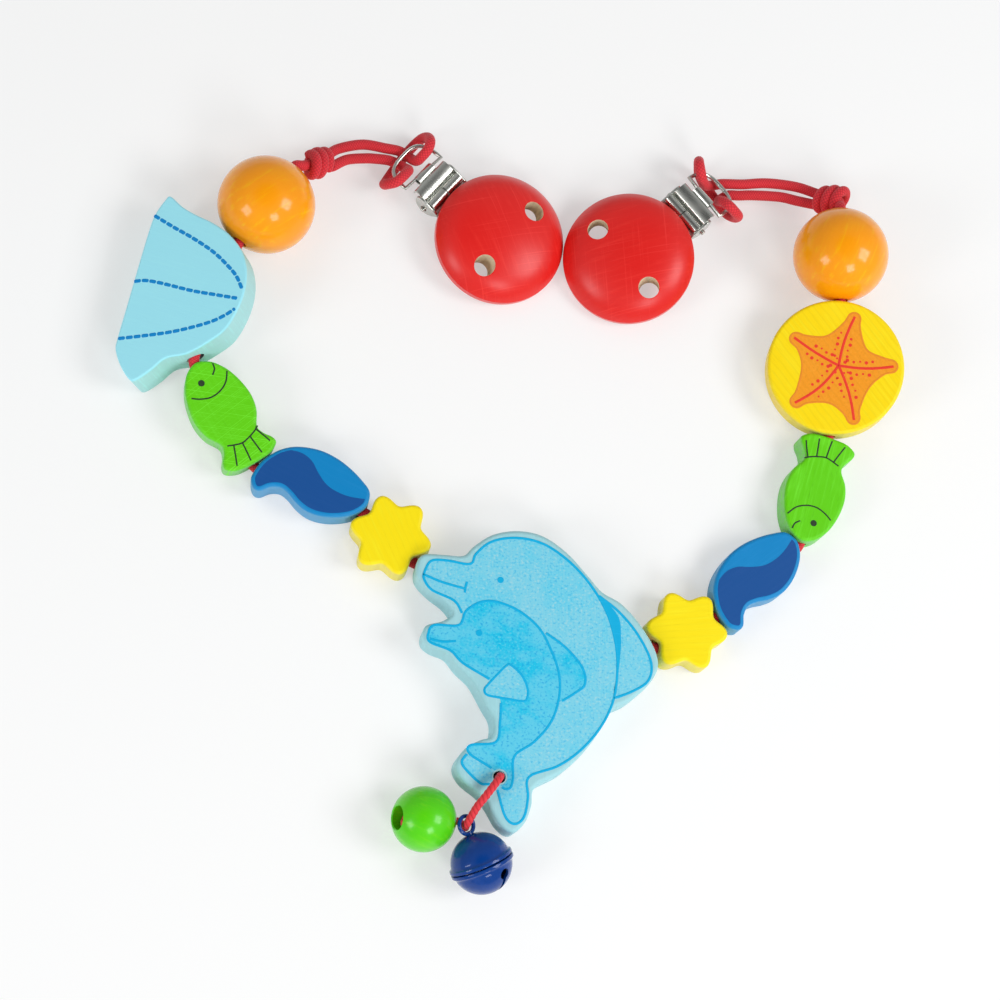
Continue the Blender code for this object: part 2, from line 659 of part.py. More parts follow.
def right_arm(paints):
    ball = BALL_DIAMETER / 2
    disc = STARFISH_DISC_DIAMETER / 2
    return [
        Bead("right_star", paints["yellow"], RIGHT_STAR_HEADING_DEG, STAR_VALLEY_RADIUS,
             STAR_VALLEY_RADIUS, star_outline(), STAR_THICKNESS, gap=RIGHT_STAR_GAP),
        Bead("right_wave", paints["wave"], RIGHT_WAVE_HEADING_DEG, WAVE_LENGTH * WAVE_BACK_SHARE,
             WAVE_LENGTH * WAVE_FRONT_SHARE, wave_outline(1), WAVE_THICKNESS, gap=WAVE_GAP),
        Bead("right_fish", paints["green"], RIGHT_FISH_HEADING_DEG, FISH_LENGTH * FISH_END_SHARE,
             FISH_LENGTH * FISH_END_SHARE, fish_outline(-1), FISH_THICKNESS, gap=FISH_GAP),
        Bead("starfish_disc", paints["yellow"], STARFISH_DISC_HEADING_DEG, disc, disc,
             disc_outline(), STARFISH_DISC_THICKNESS, STARFISH_DISC_PITCH_DEG,
             STARFISH_DISC_ROLL_DEG),
        Bead("right_ball", paints["orange"], RIGHT_BALL_HEADING_DEG, ball, ball,
             pitch=RIGHT_BALL_PITCH_DEG, gap=RIGHT_BALL_GAP),
    ]


def dolphin_point(shares, height=0.0):
    return Vector((shares[0] * DOLPHIN_WIDTH, shares[1] * DOLPHIN_HEIGHT, height))


def build_dolphin(paints):
    outline = outline_from(DOLPHIN_OUTLINE_SHARES, DOLPHIN_WIDTH, DOLPHIN_HEIGHT)
    frame = Matrix.Translation((0, 0, DOLPHIN_THICKNESS / 2))
    block = make_object("dolphin_block", slab_bm(outline, DOLPHIN_THICKNESS), paints["sky"], frame)
    round_edges(block)
    left, right = dolphin_point(DOLPHIN_LEFT_MOUTH_SHARES), dolphin_point(DOLPHIN_RIGHT_MOUTH_SHARES)
    bore(block, left, right, STRING_DIAMETER + 2 * STRING_CLEARANCE, frame)
    hole = dolphin_point(PENDANT_HOLE_SHARES)
    bore(block, hole, hole + UP * DOLPHIN_THICKNESS, PENDANT_HOLE_DIAMETER, Matrix())
    recess = rod_bm(hole - UP * CUT_OVERRUN, hole + UP * KNOT_RECESS_DEPTH,
                    KNOT_RECESS_DIAMETER / 2, BORE_SIDES)
    cut(block, recess, Matrix())
    middle = UP * DOLPHIN_THICKNESS / 2
    reach = (right - left).normalized() * DOLPHIN_STRING_REACH
    string_between("dolphin_string", left + middle, right + middle + reach, paints["cord"],
                   Vector())


def knot_profile():
    """Section of a knot of a few wraps, as (radius, distance along it) pairs."""
    profile = [(0.0, 0.0), (KNOT_END_RADIUS, 0.0)]
    steps = KNOT_WRAP_COUNT * KNOT_POINTS_PER_WRAP
    for i in range(steps + 1):
        wave = abs(math.sin(math.pi * KNOT_WRAP_COUNT * i / steps))
        radius = KNOT_WAIST_RADIUS + (KNOT_RADIUS - KNOT_WAIST_RADIUS) * wave
        inset = KNOT_LENGTH / (2 * steps)
        profile.append((radius, inset + (KNOT_LENGTH - 2 * inset) * i / steps))
    return profile + [(KNOT_END_RADIUS, KNOT_LENGTH), (0.0, KNOT_LENGTH)]


def build_knot(side, ball, place, finish):
    """The knot just beyond a ball's mouth. Returns the frame of the knot's far end."""
    offset, heading, pitch = place
    start = frame_at(ball.mouth(1), ball.heading) @ Vector(offset)
    frame = frame_at(start, heading, pitch)
    bm = turned_bm(knot_profile(), KNOT_SEGMENTS, axis="X")
    make_object(f"{side}_knot", bm, finish, frame, pivot=frame.inverted() @ ball.mouth(1))
    return frame @ Matrix.Translation((KNOT_LENGTH, 0, 0))


def disc_profile():
    """Section of the domed disc, as (radius, height) pairs from the middle of its top."""
    radius = DISC_DIAMETER / 2
    profile = [(0.0, DISC_THICKNESS)]
    for i in range(1, DISC_DOME_STEPS + 1):
        share = i / DISC_DOME_STEPS
        drop = (DISC_THICKNESS - DISC_RIM_HEIGHT) * share**DISC_DOME_POWER
        spread = math.sin(share * math.pi / 2) ** DISC_SPREAD_POWER
        profile.append((radius * spread, DISC_THICKNESS - drop))
    corner = DISC_EDGE_ROUND * DISC_CORNER_SHARE
    profile.append((radius, DISC_EDGE_ROUND))
    profile.append((radius - corner, corner))
    profile.append((radius - DISC_EDGE_ROUND, 0.0))
    profile.append((0.0, 0.0))
    return profile


class Clip:
    """One clip: where its disc and ring lie and how its pieces are made."""

    def __init__(self, side, heading, centre, lever_open):
        self.side, self.heading, self.lever_open = side, heading, lever_open
        self.pin = Vector((EYE_REACH - PIN_TO_EYE, 0, -PIN_DROP))
        self.rivet_x = EYE_REACH - RIVET_TO_EYE
        self.plate_reach = EYE_REACH - EYE_NECK
        tip = self.lever_turn() @ Vector((LEVER_TIP_X, 0, self.lever_top() - LEVER_THICKNESS))
        slopes = [math.atan2(z - tip.z, tip.x + r) for r, z in disc_profile() if r > 0]
        tilt = min(slopes)
        self.tilt = math.degrees(tilt)
        height = -tip.x * math.sin(tilt) - tip.z * math.cos(tilt)
        self.frame = frame_at((centre.x, centre.y, height), heading, self.tilt)
        self.eye = Vector((EYE_REACH, 0, self.plate_top() - PLATE_THICKNESS / 2))

    def plate_top(self):
        return -TOUCH_GAP

    def plate_under(self):
        return self.plate_top() - PLATE_THICKNESS

    def lever_top(self):
        return self.plate_under() - 2 * TOUCH_GAP - PAD_THICKNESS

    def wire_bore(self):
        return RING_WIRE_DIAMETER / 2 + RUNNING_CLEARANCE

    def build_disc(self, paint):
        disc = make_object(f"{self.side}_clip_disc", turned_bm(disc_profile(), DISC_SEGMENTS),
                           paint, self.frame, pivot=self.eye)
        for across in (-VENT_SPACING / 2, VENT_SPACING / 2):
            low = Vector((VENT_OFFSET, across, 0))
            bore(disc, low, low + UP * DISC_THICKNESS, VENT_DIAMETER, self.frame, VENT_SEGMENTS)
        socket = RIVET_SHANK_DIAMETER / 2 + RUNNING_CLEARANCE
        tool = rod_bm((self.rivet_x, 0, -CUT_OVERRUN), (self.rivet_x, 0, RIVET_SHANK_LENGTH + TOUCH_GAP),
                      socket, RIVET_SEGMENTS)
        cut(disc, tool, self.frame)

    def build_plate(self, metal):
        top, under, half = self.plate_top(), self.plate_under(), PLATE_WIDTH / 2
        plate = make_object(f"{self.side}_clip_plate",
                            box_bm((-PLATE_TAIL, -half, under), (self.plate_reach, half, top)),
                            metal, self.frame, smooth=False, pivot=self.eye)
        neck = EYE_REACH - self.wire_bore()
        join(plate, box_bm((self.plate_reach - PLATE_THICKNESS, -EYE_WIDTH / 2, under),
                           (neck, EYE_WIDTH / 2, top)), self.frame)
        eye = rod_bm((EYE_REACH, -EYE_WIDTH / 2, self.eye.z), (EYE_REACH, EYE_WIDTH / 2, self.eye.z),
                     self.wire_bore() + EYE_WALL, BORE_SIDES)
        join(plate, eye, self.frame)
        for sign in (-1, 1):
            low_y, high_y = sorted((sign * half, sign * (half - PLATE_THICKNESS)))
            ear_back = self.pin.x - EAR_BEHIND_PIN
            ear = box_bm((ear_back, low_y, under - EAR_DEPTH),
                         (ear_back + EAR_LENGTH, high_y, top - PLATE_THICKNESS / 2))
            join(plate, ear, self.frame)
        window_back = self.pin.x + WINDOW_PAST_PIN
        window = box_bm((window_back, -WINDOW_WIDTH / 2, under - CUT_OVERRUN),
                        (window_back + WINDOW_LENGTH, WINDOW_WIDTH / 2, top + CUT_OVERRUN))
        cut(plate, window, self.frame)
        bore(plate, (EYE_REACH, -EYE_WIDTH / 2, self.eye.z), (EYE_REACH, EYE_WIDTH / 2, self.eye.z),
             2 * self.wire_bore(), self.frame)
        pin_hole = PIN_DIAMETER + 2 * RUNNING_CLEARANCE
        bore(plate, self.pin - Vector((0, half, 0)), self.pin + Vector((0, half, 0)), pin_hole,
             self.frame)
        rivet_hole = RIVET_SHANK_DIAMETER / 2 + RUNNING_CLEARANCE
        cut(plate, rod_bm((self.rivet_x, 0, under - CUT_OVERRUN), (self.rivet_x, 0, top + CUT_OVERRUN),
                          rivet_hole, RIVET_SEGMENTS), self.frame)

    def lever_turn(self):
        """The turn about the pin by how far the lever stands open."""
        return (Matrix.Translation(self.pin) @ turned(-self.lever_open, "Y")
                @ Matrix.Translation(-self.pin))

    def lever_frame(self):
        return self.frame @ self.lever_turn()

    def build_lever(self, metal):
        top, frame = self.lever_top(), self.lever_frame()
        half = PLATE_WIDTH / 2 - PLATE_THICKNESS - LEVER_SIDE_CLEARANCE
        flap = box_bm((LEVER_TIP_X, -half, top - LEVER_THICKNESS), (self.pin.x, half, top))
        lever = make_object(f"{self.side}_clip_lever", flap, metal, frame, smooth=False,
                            pivot=self.pin)
        hole = PIN_DIAMETER / 2 + RUNNING_CLEARANCE
        side = Vector((0, half, 0))
        knuckle = rod_bm(self.pin - side, self.pin + side, hole + KNUCKLE_WALL, BORE_SIDES)
        join(lever, knuckle, frame)
        bore(lever, self.pin - side, self.pin + side, 2 * hole, frame)

    def build_pad(self, plastic):
        base = self.lever_top() + TOUCH_GAP
        half = PAD_WIDTH / 2
        length = self.rivet_x - RIVET_HEAD_DIAMETER / 2 - PAD_RIVET_CLEARANCE - PAD_X
        profile = [Vector((PAD_X, 0, base)), Vector((PAD_X + length, 0, base))]
        for i in range(2 * PAD_TOOTH_COUNT, -1, -1):
            height = PAD_THICKNESS - (PAD_TOOTH_DEPTH if i % 2 else 0)
            profile.append(Vector((PAD_X + length * i / (2 * PAD_TOOTH_COUNT), 0, base + height)))
        bm = bmesh.new()
        face = bm.faces.new([bm.verts.new((p.x, -half, p.z)) for p in profile])
        raised = bmesh.ops.extrude_face_region(bm, geom=[face])
        verts = [v for v in raised["geom"] if isinstance(v, bmesh.types.BMVert)]
        bmesh.ops.translate(bm, verts=verts, vec=(0, PAD_WIDTH, 0))
        make_object(f"{self.side}_jaw_pad", bm, plastic, self.lever_frame(), smooth=False,
                    pivot=self.pin)

    def build_fixings(self, metal):
        half = PLATE_WIDTH / 2 + PIN_OVERHANG
        pin = rod_bm(self.pin - Vector((0, half, 0)), self.pin + Vector((0, half, 0)),
                     PIN_DIAMETER / 2, BORE_SIDES)
        make_object(f"{self.side}_clip_pin", pin, metal, self.frame, pivot=self.pin)
        seat = self.plate_under() - TOUCH_GAP
        crown = seat - RIVET_HEAD_HEIGHT
        head, shank = RIVET_HEAD_DIAMETER / 2, RIVET_SHANK_DIAMETER / 2
        profile = [(0.0, crown), (head - RIVET_HEAD_HEIGHT, crown),
                   (head, seat - RIVET_HEAD_HEIGHT / 2), (head, seat), (shank, seat),
                   (shank, RIVET_SHANK_LENGTH), (0.0, RIVET_SHANK_LENGTH)]
        rivet = turned_bm(profile, RIVET_SEGMENTS)
        make_object(f"{self.side}_rivet", rivet, metal,
                    self.frame @ Matrix.Translation((self.rivet_x, 0, 0)))

    def ring_frame(self):
        """Level frame over the eye: x along the clip, y to its left, z world height."""
        eye = self.frame @ self.eye
        return frame_at((eye.x, eye.y, 0), self.heading)

    def ring_points(self):
        """The wire ring: a straight bar in the eye and a rounded bow that slopes to the cord."""
        eye_height = (self.frame @ self.eye).z
        slope = (RING_FAR_HEIGHT - eye_height) / RING_LENGTH
        half = RING_WIDTH / 2 - RING_WIRE_DIAMETER / 2
        points = []
        for i in range(RING_STEPS + 1):
            angle = math.pi * i / RING_STEPS
            across = half * math.copysign(abs(math.cos(angle)) ** RING_SQUARENESS, math.cos(angle))
            along = RING_LENGTH * math.sin(angle) ** RING_SQUARENESS
            points.append(Vector((along, -across, eye_height + slope * along)))
        return [self.ring_frame() @ p for p in points]

    def build_ring(self, metal):
        points = self.ring_points()
        far_bow = points[RING_STEPS // 2]
        ring = cord_object(f"{self.side}_ring", points, RING_WIRE_DIAMETER, metal, far_bow)
        ring.data.splines[0].use_cyclic_u = True

    def build(self, paints):
        self.build_disc(paints["red"])
        self.build_plate(paints["nickel"])
        self.build_lever(paints["nickel"])
        self.build_pad(paints["pad"])
        self.build_fixings(paints["nickel"])
        self.build_ring(paints["nickel"])


def clip_pair():
    apart = (DISC_DIAMETER + DISC_PAIR_GAP) / 2
    meeting = Vector((DISC_MEETING_X, DISC_MEETING_Y, 0))
    line = flat_direction(DISC_PAIR_LINE_DEG)
    left = Clip("left", LEFT_CLIP_HEADING_DEG, meeting - line * apart, LEFT_LEVER_OPEN_DEG)
    right = Clip("right", RIGHT_CLIP_HEADING_DEG, meeting + line * apart, RIGHT_LEVER_OPEN_DEG)
    return left, right


def loop_route(knot_end, clip, hitch_route):
    """The whole loop: out from the knot, round the ring and back beside itself."""
    ring = clip.ring_frame()
    hitch = [ring @ Vector(p) for p in hitch_route]
    across = knot_end.to_3x3() @ Vector((0, STRAND_SPREAD / 2, 0))
    if (hitch[0] - hitch[-1]).dot(across) < 0:
        across.negate()
    start = knot_end @ Vector((TOUCH_GAP, 0, 0))
    ahead = knot_end @ Vector((STRING_DIAMETER / 2, 0, 0))
    return [start + across, ahead + across] + hitch + [ahead - across, start - across]


def build_beads(beads, strings, mouth_shares, far_mouth_shares, cord):
    """String the beads outward from one of the dolphin's mouths."""
    mouth = dolphin_point(mouth_shares)
    outward = (mouth - dolphin_point(far_mouth_shares)).normalized()
    junction = mouth + outward * (beads[0].gap / 2)
    gaps = [bead.gap for bead in beads[1:]] + [BEAD_GAP]
    for bead, next_gap, string in zip(beads, gaps, strings):
        junction = bead.lay(junction, next_gap)
        bead.build(string, cord)


def build_end(side, ball, clip, knot_place, hitch_route, paints):
    """What lies past an arm's last ball: its knot, clip and loop. Returns the loop's points."""
    knot_end = build_knot(side, ball, knot_place, paints["cord"])
    clip.build(paints)
    points = evenly_spaced(loop_route(knot_end, clip, hitch_route), CORD_POINT_STEP)
    cord_object(f"{side}_cord", points, STRING_DIAMETER, paints["cord"], ball.mouth(1))
    gap = least_gap(points, STRING_DIAMETER)
    print(f"{side} loop: {route_length(points):.4f} m long, {gap:.5f} m clear of itself")
    return points


def arc_profile(radius, first, last):
    """Points of an arc between two angles above the rim, as (radius, height) pairs."""
    angles = [first + (last - first) * i / BELL_RINGS for i in range(BELL_RINGS + 1)]
    return [(radius * math.cos(a), radius * math.sin(a)) for a in angles]


def bell_profile(sign):
    """Section of half the bell's shell with its rolled flange, from pole to pole."""
    outer, inner = BELL_DIAMETER / 2, BELL_DIAMETER / 2 - BELL_WALL
    low = TOUCH_GAP / 2
    lip = low + BELL_FLANGE_THICKNESS
    hole = BELL_EYE_STEM / 2 + RUNNING_CLEARANCE if sign > 0 else 0.0
    profile = arc_profile(inner, math.acos(hole / inner), math.asin(lip / inner))
    profile += [(inner, low), (outer + BELL_FLANGE, low), (outer + BELL_FLANGE, lip)]
    profile += arc_profile(outer, math.asin(lip / outer), math.acos(hole / outer))
    return [(r, sign * z) for r, z in profile]


def bell_frame():
    """The bell's frame: z from the slot to the eye, lying on its flange."""
    rim = BELL_DIAMETER / 2 + BELL_FLANGE
    lip = TOUCH_GAP / 2 + BELL_FLANGE_THICKNESS
    pitch = math.radians(BELL_PITCH_DEG)
    height = rim * math.cos(pitch) + lip * math.sin(pitch)
    place = dolphin_point(TAIL_SIDE_SHARES) + Vector((*BELL_OFFSET, height))
    lying = frame_at(place, BELL_HEADING_DEG, BELL_PITCH_DEG)
    return lying @ turned(90, "Y") @ turned(BELL_TURN_DEG, "Z")


def bell_eye_height():
    return BELL_DIAMETER / 2 + TOUCH_GAP + BELL_EYE_DIAMETER / 2 - BELL_EYE_WIRE / 2


def loop_bm(radius, wire_radius):
    """A round ring of wire whose axis is y."""
    bm = bmesh.new()
    ring = []
    for i in range(BELL_EYE_SIDES):
        angle = math.tau * i / BELL_EYE_SIDES
        across = radius + wire_radius * math.cos(angle)
        ring.append(bm.verts.new((across, wire_radius * math.sin(angle), 0)))
    edges = [bm.edges.new((a, b)) for a, b in zip(ring, ring[1:] + ring[:1])]
    bmesh.ops.spin(bm, geom=ring + edges, cent=(0, 0, 0), axis=(0, 1, 0), angle=math.tau,
                   steps=BELL_EYE_SEGMENTS, use_merge=True)
    return bm


def build_bell(paints):
    frame = bell_frame()
    middle = bell_eye_height()
    pivot = Vector((0, 0, middle))
    upper = turned_bm(bell_profile(1), BELL_SEGMENTS, closed=True)
    make_object("bell_upper", upper, paints["enamel"], frame, pivot=pivot)
    lower = make_object("bell_lower", turned_bm(bell_profile(-1), BELL_SEGMENTS),
                        paints["enamel"], frame, pivot=pivot)
    radius = BELL_DIAMETER / 2
    inner = radius - BELL_WALL
    reach = math.radians(BELL_SLOT_REACH_DEG)
    slot = box_bm((-radius * math.sin(reach), -BELL_SLOT_WIDTH / 2, -radius - CUT_OVERRUN),
                  (radius * math.sin(reach), BELL_SLOT_WIDTH / 2, -radius * math.cos(reach)))
    cut(lower, slot, frame)
    for sign in (-1, 1):
        out = Vector((sign * math.sin(reach), 0, -math.cos(reach)))
        bore(lower, inner * out, radius * out, BELL_SLOT_HOLE_DIAMETER, frame)
    foot_top = inner - 2 * TOUCH_GAP
    foot_low = foot_top - BELL_EYE_FOOT_HEIGHT
    stem_top = middle - BELL_EYE_DIAMETER / 2 + BELL_EYE_WIRE
    stem = rod_bm((0, 0, foot_low + TOUCH_GAP), (0, 0, stem_top), BELL_EYE_STEM / 2, BORE_SIDES)
    eye = make_object("bell_eye", stem, paints["enamel"], frame, pivot=pivot)
    foot = rod_bm((0, 0, foot_low), (0, 0, foot_top), BELL_EYE_FOOT_DIAMETER / 2, BORE_SIDES)
    join(eye, foot, frame)
    turn = frame @ Matrix.Translation(pivot) @ turned(BELL_EYE_TURN_DEG - BELL_TURN_DEG, "Z")
    join(eye, loop_bm(BELL_EYE_DIAMETER / 2 - BELL_EYE_WIRE / 2, BELL_EYE_WIRE / 2), turn)
    pellet = bmesh.new()
    bmesh.ops.create_icosphere(pellet, subdivisions=BELL_PELLET_BALL_STEPS,
                               radius=BELL_PELLET_DIAMETER / 2)
    drop = inner - TOUCH_GAP - BELL_PELLET_DIAMETER / 2
    down = frame.to_3x3().inverted() @ Vector((0, 0, -drop))
    make_object("bell_pellet", pellet, paints["nickel"], frame @ Matrix.Translation(down))


def green_ball_frame():
    place = dolphin_point(TAIL_SIDE_SHARES) + Vector((*GREEN_BALL_OFFSET, GREEN_BALL_DIAMETER / 2))
    return frame_at(place, GREEN_BALL_HEADING_DEG, GREEN_BALL_PITCH_DEG)


def build_pendant(paints):
    """The pendant's knots, green ball and cord. Returns the cord's points."""
    hole = dolphin_point(PENDANT_HOLE_SHARES)
    radius = PENDANT_CORD_DIAMETER / 2
    knot_radius = PENDANT_KNOT_DIAMETER / 2
    knot_middle = hole + UP * (TOUCH_GAP + knot_radius)
    knot = make_object("pendant_knot", ball_bm(knot_radius), paints["cord"],
                       Matrix.Translation(knot_middle))
    stem_top = hole + UP * (DOLPHIN_THICKNESS - PENDANT_STEM_DROP)
    join(knot, rod_bm(knot_middle, stem_top, radius, STRING_SIDES), Matrix())
    frame = green_ball_frame()
    ball_radius = GREEN_BALL_DIAMETER / 2
    profile = ball_profile(ball_radius, GREEN_BALL_BORE / 2, BALL_RINGS,
                           GREEN_BALL_MOUTH_DIAMETER / 2, GREEN_BALL_MOUTH_DEPTH)
    make_object("green_ball", turned_bm(profile, BALL_SEGMENTS, axis="X", closed=True),
                paints["green"], frame)
    floor = ball_radius - GREEN_BALL_MOUTH_DEPTH
    stop = Vector((floor + TOUCH_GAP + knot_radius, 0, 0))
    make_object("green_ball_knot", ball_bm(knot_radius), paints["cord"],
                frame @ Matrix.Translation(stop))
    start = hole + UP * (DOLPHIN_THICKNESS + 2 * TOUCH_GAP)
    eye = bell_frame() @ Vector((0, 0, bell_eye_height()))
    route = [start, start + UP * radius] + [Vector(p) for p in PENDANT_RISE_ROUTE]
    route += [eye, eye - UP * PENDANT_EYE_DROP]
    bore_places = (-ball_radius - PENDANT_MOUTH_LEAD, -ball_radius, 0, floor - TOUCH_GAP)
    route += [frame @ Vector((x, 0, 0)) for x in bore_places]
    points = evenly_spaced(route, CORD_POINT_STEP)
    cord_object("pendant_cord", points, PENDANT_CORD_DIAMETER, paints["cord"], start)
    return points


def all_paints():
    return {
        "sky": finish_for("sky paint", PAINT_SKY, PAINT_ROUGHNESS),
        "pale blue": finish_for("pale blue paint", PAINT_PALE_BLUE, PAINT_ROUGHNESS),
        "wave": finish_for("wave paint", PAINT_WAVE, PAINT_ROUGHNESS),
        "yellow": finish_for("yellow paint", PAINT_YELLOW, PAINT_ROUGHNESS),
        "green": finish_for("green paint", PAINT_GREEN, PAINT_ROUGHNESS),
        "orange": finish_for("orange varnish", PAINT_ORANGE, GLOSS_ROUGHNESS),
        "red": finish_for("red varnish", PAINT_RED, GLOSS_ROUGHNESS),
        "cord": finish_for("red cord", CORD_RED, CORD_ROUGHNESS),
        "enamel": finish_for("blue enamel", ENAMEL_BLUE, GLOSS_ROUGHNESS),
        "nickel": finish_for("nickel", NICKEL, METAL_ROUGHNESS, 1.0),
        "pad": finish_for("white pad", PAD_WHITE, PAINT_ROUGHNESS),
    }


def build_arms(paints):
    """Both arms with their clips. Returns the beads, the clip and the loop's points by side."""
    left_clip, right_clip = clip_pair()
    left_beads, right_beads = left_arm(paints), right_arm(paints)
    build_beads(left_beads, LEFT_STRING_NAMES, DOLPHIN_LEFT_MOUTH_SHARES,
                DOLPHIN_RIGHT_MOUTH_SHARES, paints["cord"])
    build_beads(right_beads, RIGHT_STRING_NAMES, DOLPHIN_RIGHT_MOUTH_SHARES,
                DOLPHIN_LEFT_MOUTH_SHARES, paints["cord"])
    left_knot = (LEFT_KNOT_OFFSET, LEFT_KNOT_HEADING_DEG, LEFT_KNOT_PITCH_DEG)
    right_knot = (RIGHT_KNOT_OFFSET, RIGHT_KNOT_HEADING_DEG, RIGHT_KNOT_PITCH_DEG)
    left_points = build_end("left", left_beads[-1], left_clip, left_knot, LEFT_LOOP_ROUTE, paints)
    right_points = build_end("right", right_beads[-1], right_clip, right_knot, RIGHT_LOOP_ROUTE,
                             paints)
    return {"left": (left_beads, left_clip, left_points),
            "right": (right_beads, right_clip, right_points)}


def main():
    clear_scene()
    paints = all_paints()
    build_dolphin(paints)
    build_arms(paints)
    build_bell(paints)
    build_pendant(paints)


if __name__ == "__main__":
    main()
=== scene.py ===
"""Looks of the pram chain toy: painted wooden beads on a red cord, with two clips and a pendant.

Metres, +Z up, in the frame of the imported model. A bead is modelled in its own frame, with x along
its drilled hole and z up through its face, and is then laid in its place on the chain.
"""

import json
import math

import bpy
from bpy.props import FloatProperty, FloatVectorProperty, IntProperty, PointerProperty
from mathutils import Matrix, Vector


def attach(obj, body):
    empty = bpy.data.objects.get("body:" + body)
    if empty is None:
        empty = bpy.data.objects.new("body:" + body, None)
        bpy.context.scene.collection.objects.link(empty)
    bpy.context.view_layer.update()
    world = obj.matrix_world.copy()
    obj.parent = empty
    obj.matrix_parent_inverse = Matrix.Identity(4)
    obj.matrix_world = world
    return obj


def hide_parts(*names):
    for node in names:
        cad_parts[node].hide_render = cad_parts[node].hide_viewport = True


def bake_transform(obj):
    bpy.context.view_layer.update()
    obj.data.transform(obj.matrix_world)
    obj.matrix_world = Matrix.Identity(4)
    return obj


bl_info = {
    "name": "Pram chain toy",
    "version": (1, 0, 0),
    "blender": (4, 5, 0),
    "location": "3D View > Sidebar > Pram chain",
    "description": "Builds the painted beads, cords, clips and pendant of a pram chain toy",
    "category": "Add Mesh",
}

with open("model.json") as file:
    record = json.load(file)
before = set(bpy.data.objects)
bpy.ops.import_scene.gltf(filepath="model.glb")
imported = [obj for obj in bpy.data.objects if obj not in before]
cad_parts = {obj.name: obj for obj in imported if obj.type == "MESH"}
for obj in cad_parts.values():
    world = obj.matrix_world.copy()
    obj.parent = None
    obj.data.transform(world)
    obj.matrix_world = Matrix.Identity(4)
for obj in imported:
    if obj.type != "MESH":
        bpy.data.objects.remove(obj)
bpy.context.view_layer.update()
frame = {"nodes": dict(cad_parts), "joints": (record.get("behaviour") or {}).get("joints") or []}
JOINTS = {joint["name"]: joint for joint in frame["joints"]}
UP = Vector((0, 0, 1))
MM = 0.001

# Photograph's camera
CAMERA_PLACE = Vector((-0.086, -0.109, 0.595))
CAMERA_TARGET = Vector((-0.010, 0.052, 0.0))
FOCAL_PIXELS = 2020.0
PHOTO_SIZE = 1000.0
SENSOR_WIDTH = 36.0
CLIP_START = 0.01
TOY_MIDDLE = Vector((0.0, 0.05, 0.0))
FLOOR_SIZE = 6.0
FLOOR_GLOW_SHARE = 0.45
LAMP_DISTANCE = 1.2

# Softboxes: direction from the toy, size, and the setting of their power
SOFTBOXES = {
    "right softbox": ((0.70, -0.16, 0.69), 0.50, "key_power"),
    "front softbox": ((0.27, -0.72, 0.62), 0.36, "side_power"),
    "left softbox": ((-0.76, -0.40, 0.50), 0.40, "side_power"),
}

# Dimmer patch overhead in the even light, so that flat faces keep their colour
PATCH_EDGE_HEIGHTS = (0.80, 0.97)
PATCH_DIM_SHARE = 0.75

# Modelling
CURVE_STEPS = 6
ROUTE_STEPS = 12
DOT_SIDES = 20
BEVEL_STEPS = 4
BEVEL_ANGLE_DEG = 40
SMOOTH_ANGLE_DEG = 34
TURNED_ANGLE_DEG = 40
SMALL_ANGLE_DEG = 50
WIRE_ANGLE_DEG = 60
CORD_ANGLE_DEG = 70
ROD_SIDES = 40
DISC_STEPS = 128
BALL_STEPS = 96
BALL_RINGS = 48
EASE_WIDTH = 0.0003
DRILL_OVERRUN = 0.002
MERGE_DISTANCE = 0.000002
FILM_DEPTH = 0.00012
INK_FLATNESS = 0.14

# Finishes
RING_PITCH = 0.0019
RING_WANDER = 5.0
PAINT_EDGE_LOW = 0.0012
PAINT_EDGE_HIGH = 0.0002
PAINT_EDGE_WANDER = 0.0006
NICK_LEANS_DEG = (82, 128)
WORN_TURN = 0.3
STAIN_TURN = 0.4
STAIN_NICK_TURNS = (0.5, 2.2)
HAIRLINE_TURN = 0.6
PAINT_GLOSS = 0.3
VARNISH_IOR = 1.35
VARNISH_BASE_GLOSS = 0.1
ENAMEL_IOR = 1.34
ENAMEL_BASE_GLOSS = 0.05
ENAMEL_HAZE = 0.08
CORD_SHEEN = 0.15

# Elastic cord
STRING_DIAMETER = 0.0033
HOLE_DIAMETER = 0.0043
CORD_RING_STEP = 0.00022
CORD_SIDES = 28
CORD_TIP_RINGS = 3
CORD_TIP_SHARE = 0.55
CORD_PATH_STEP = 0.0029
COARSE_DEPTH_FACTOR = 3.6
BEND_HALF_LENGTH = 0.0016
TOUCH_GAP = 0.0003

# Beads' sizes
DOLPHIN_WIDTH = 0.073
DOLPHIN_HEIGHT = 0.090
DOLPHIN_THICKNESS = 0.014
DOLPHIN_EDGE_ROUND = 0.0014
STAR_TIP_RADIUS = 0.0125
STAR_VALLEY_RADIUS = 0.0094
STAR_TIP_COUNT = 6
STAR_STEPS = 144
BEAD_THICKNESS = 0.010
WAVE_LENGTH = 0.0357
WAVE_WIDTH = 0.0195
WAVE_RIM_SHARE = 0.1
WAVE_BACK_SHARE = 0.474
WAVE_FRONT_SHARE = 0.500
FISH_LENGTH = 0.0352
FISH_WIDTH = 0.0195
SHELL_LENGTH = 0.0583
SHELL_WIDTH = 0.0355
SHELL_THICKNESS = 0.0125
SHELL_EDGE_ROUND = 0.0007
SHELL_BACK_SHARE = 0.323
SHELL_FRONT_SHARE = 0.334
STARFISH_DISC_DIAMETER = 0.0427
STARFISH_DISC_THICKNESS = 0.0105
BALL_DIAMETER = 0.030

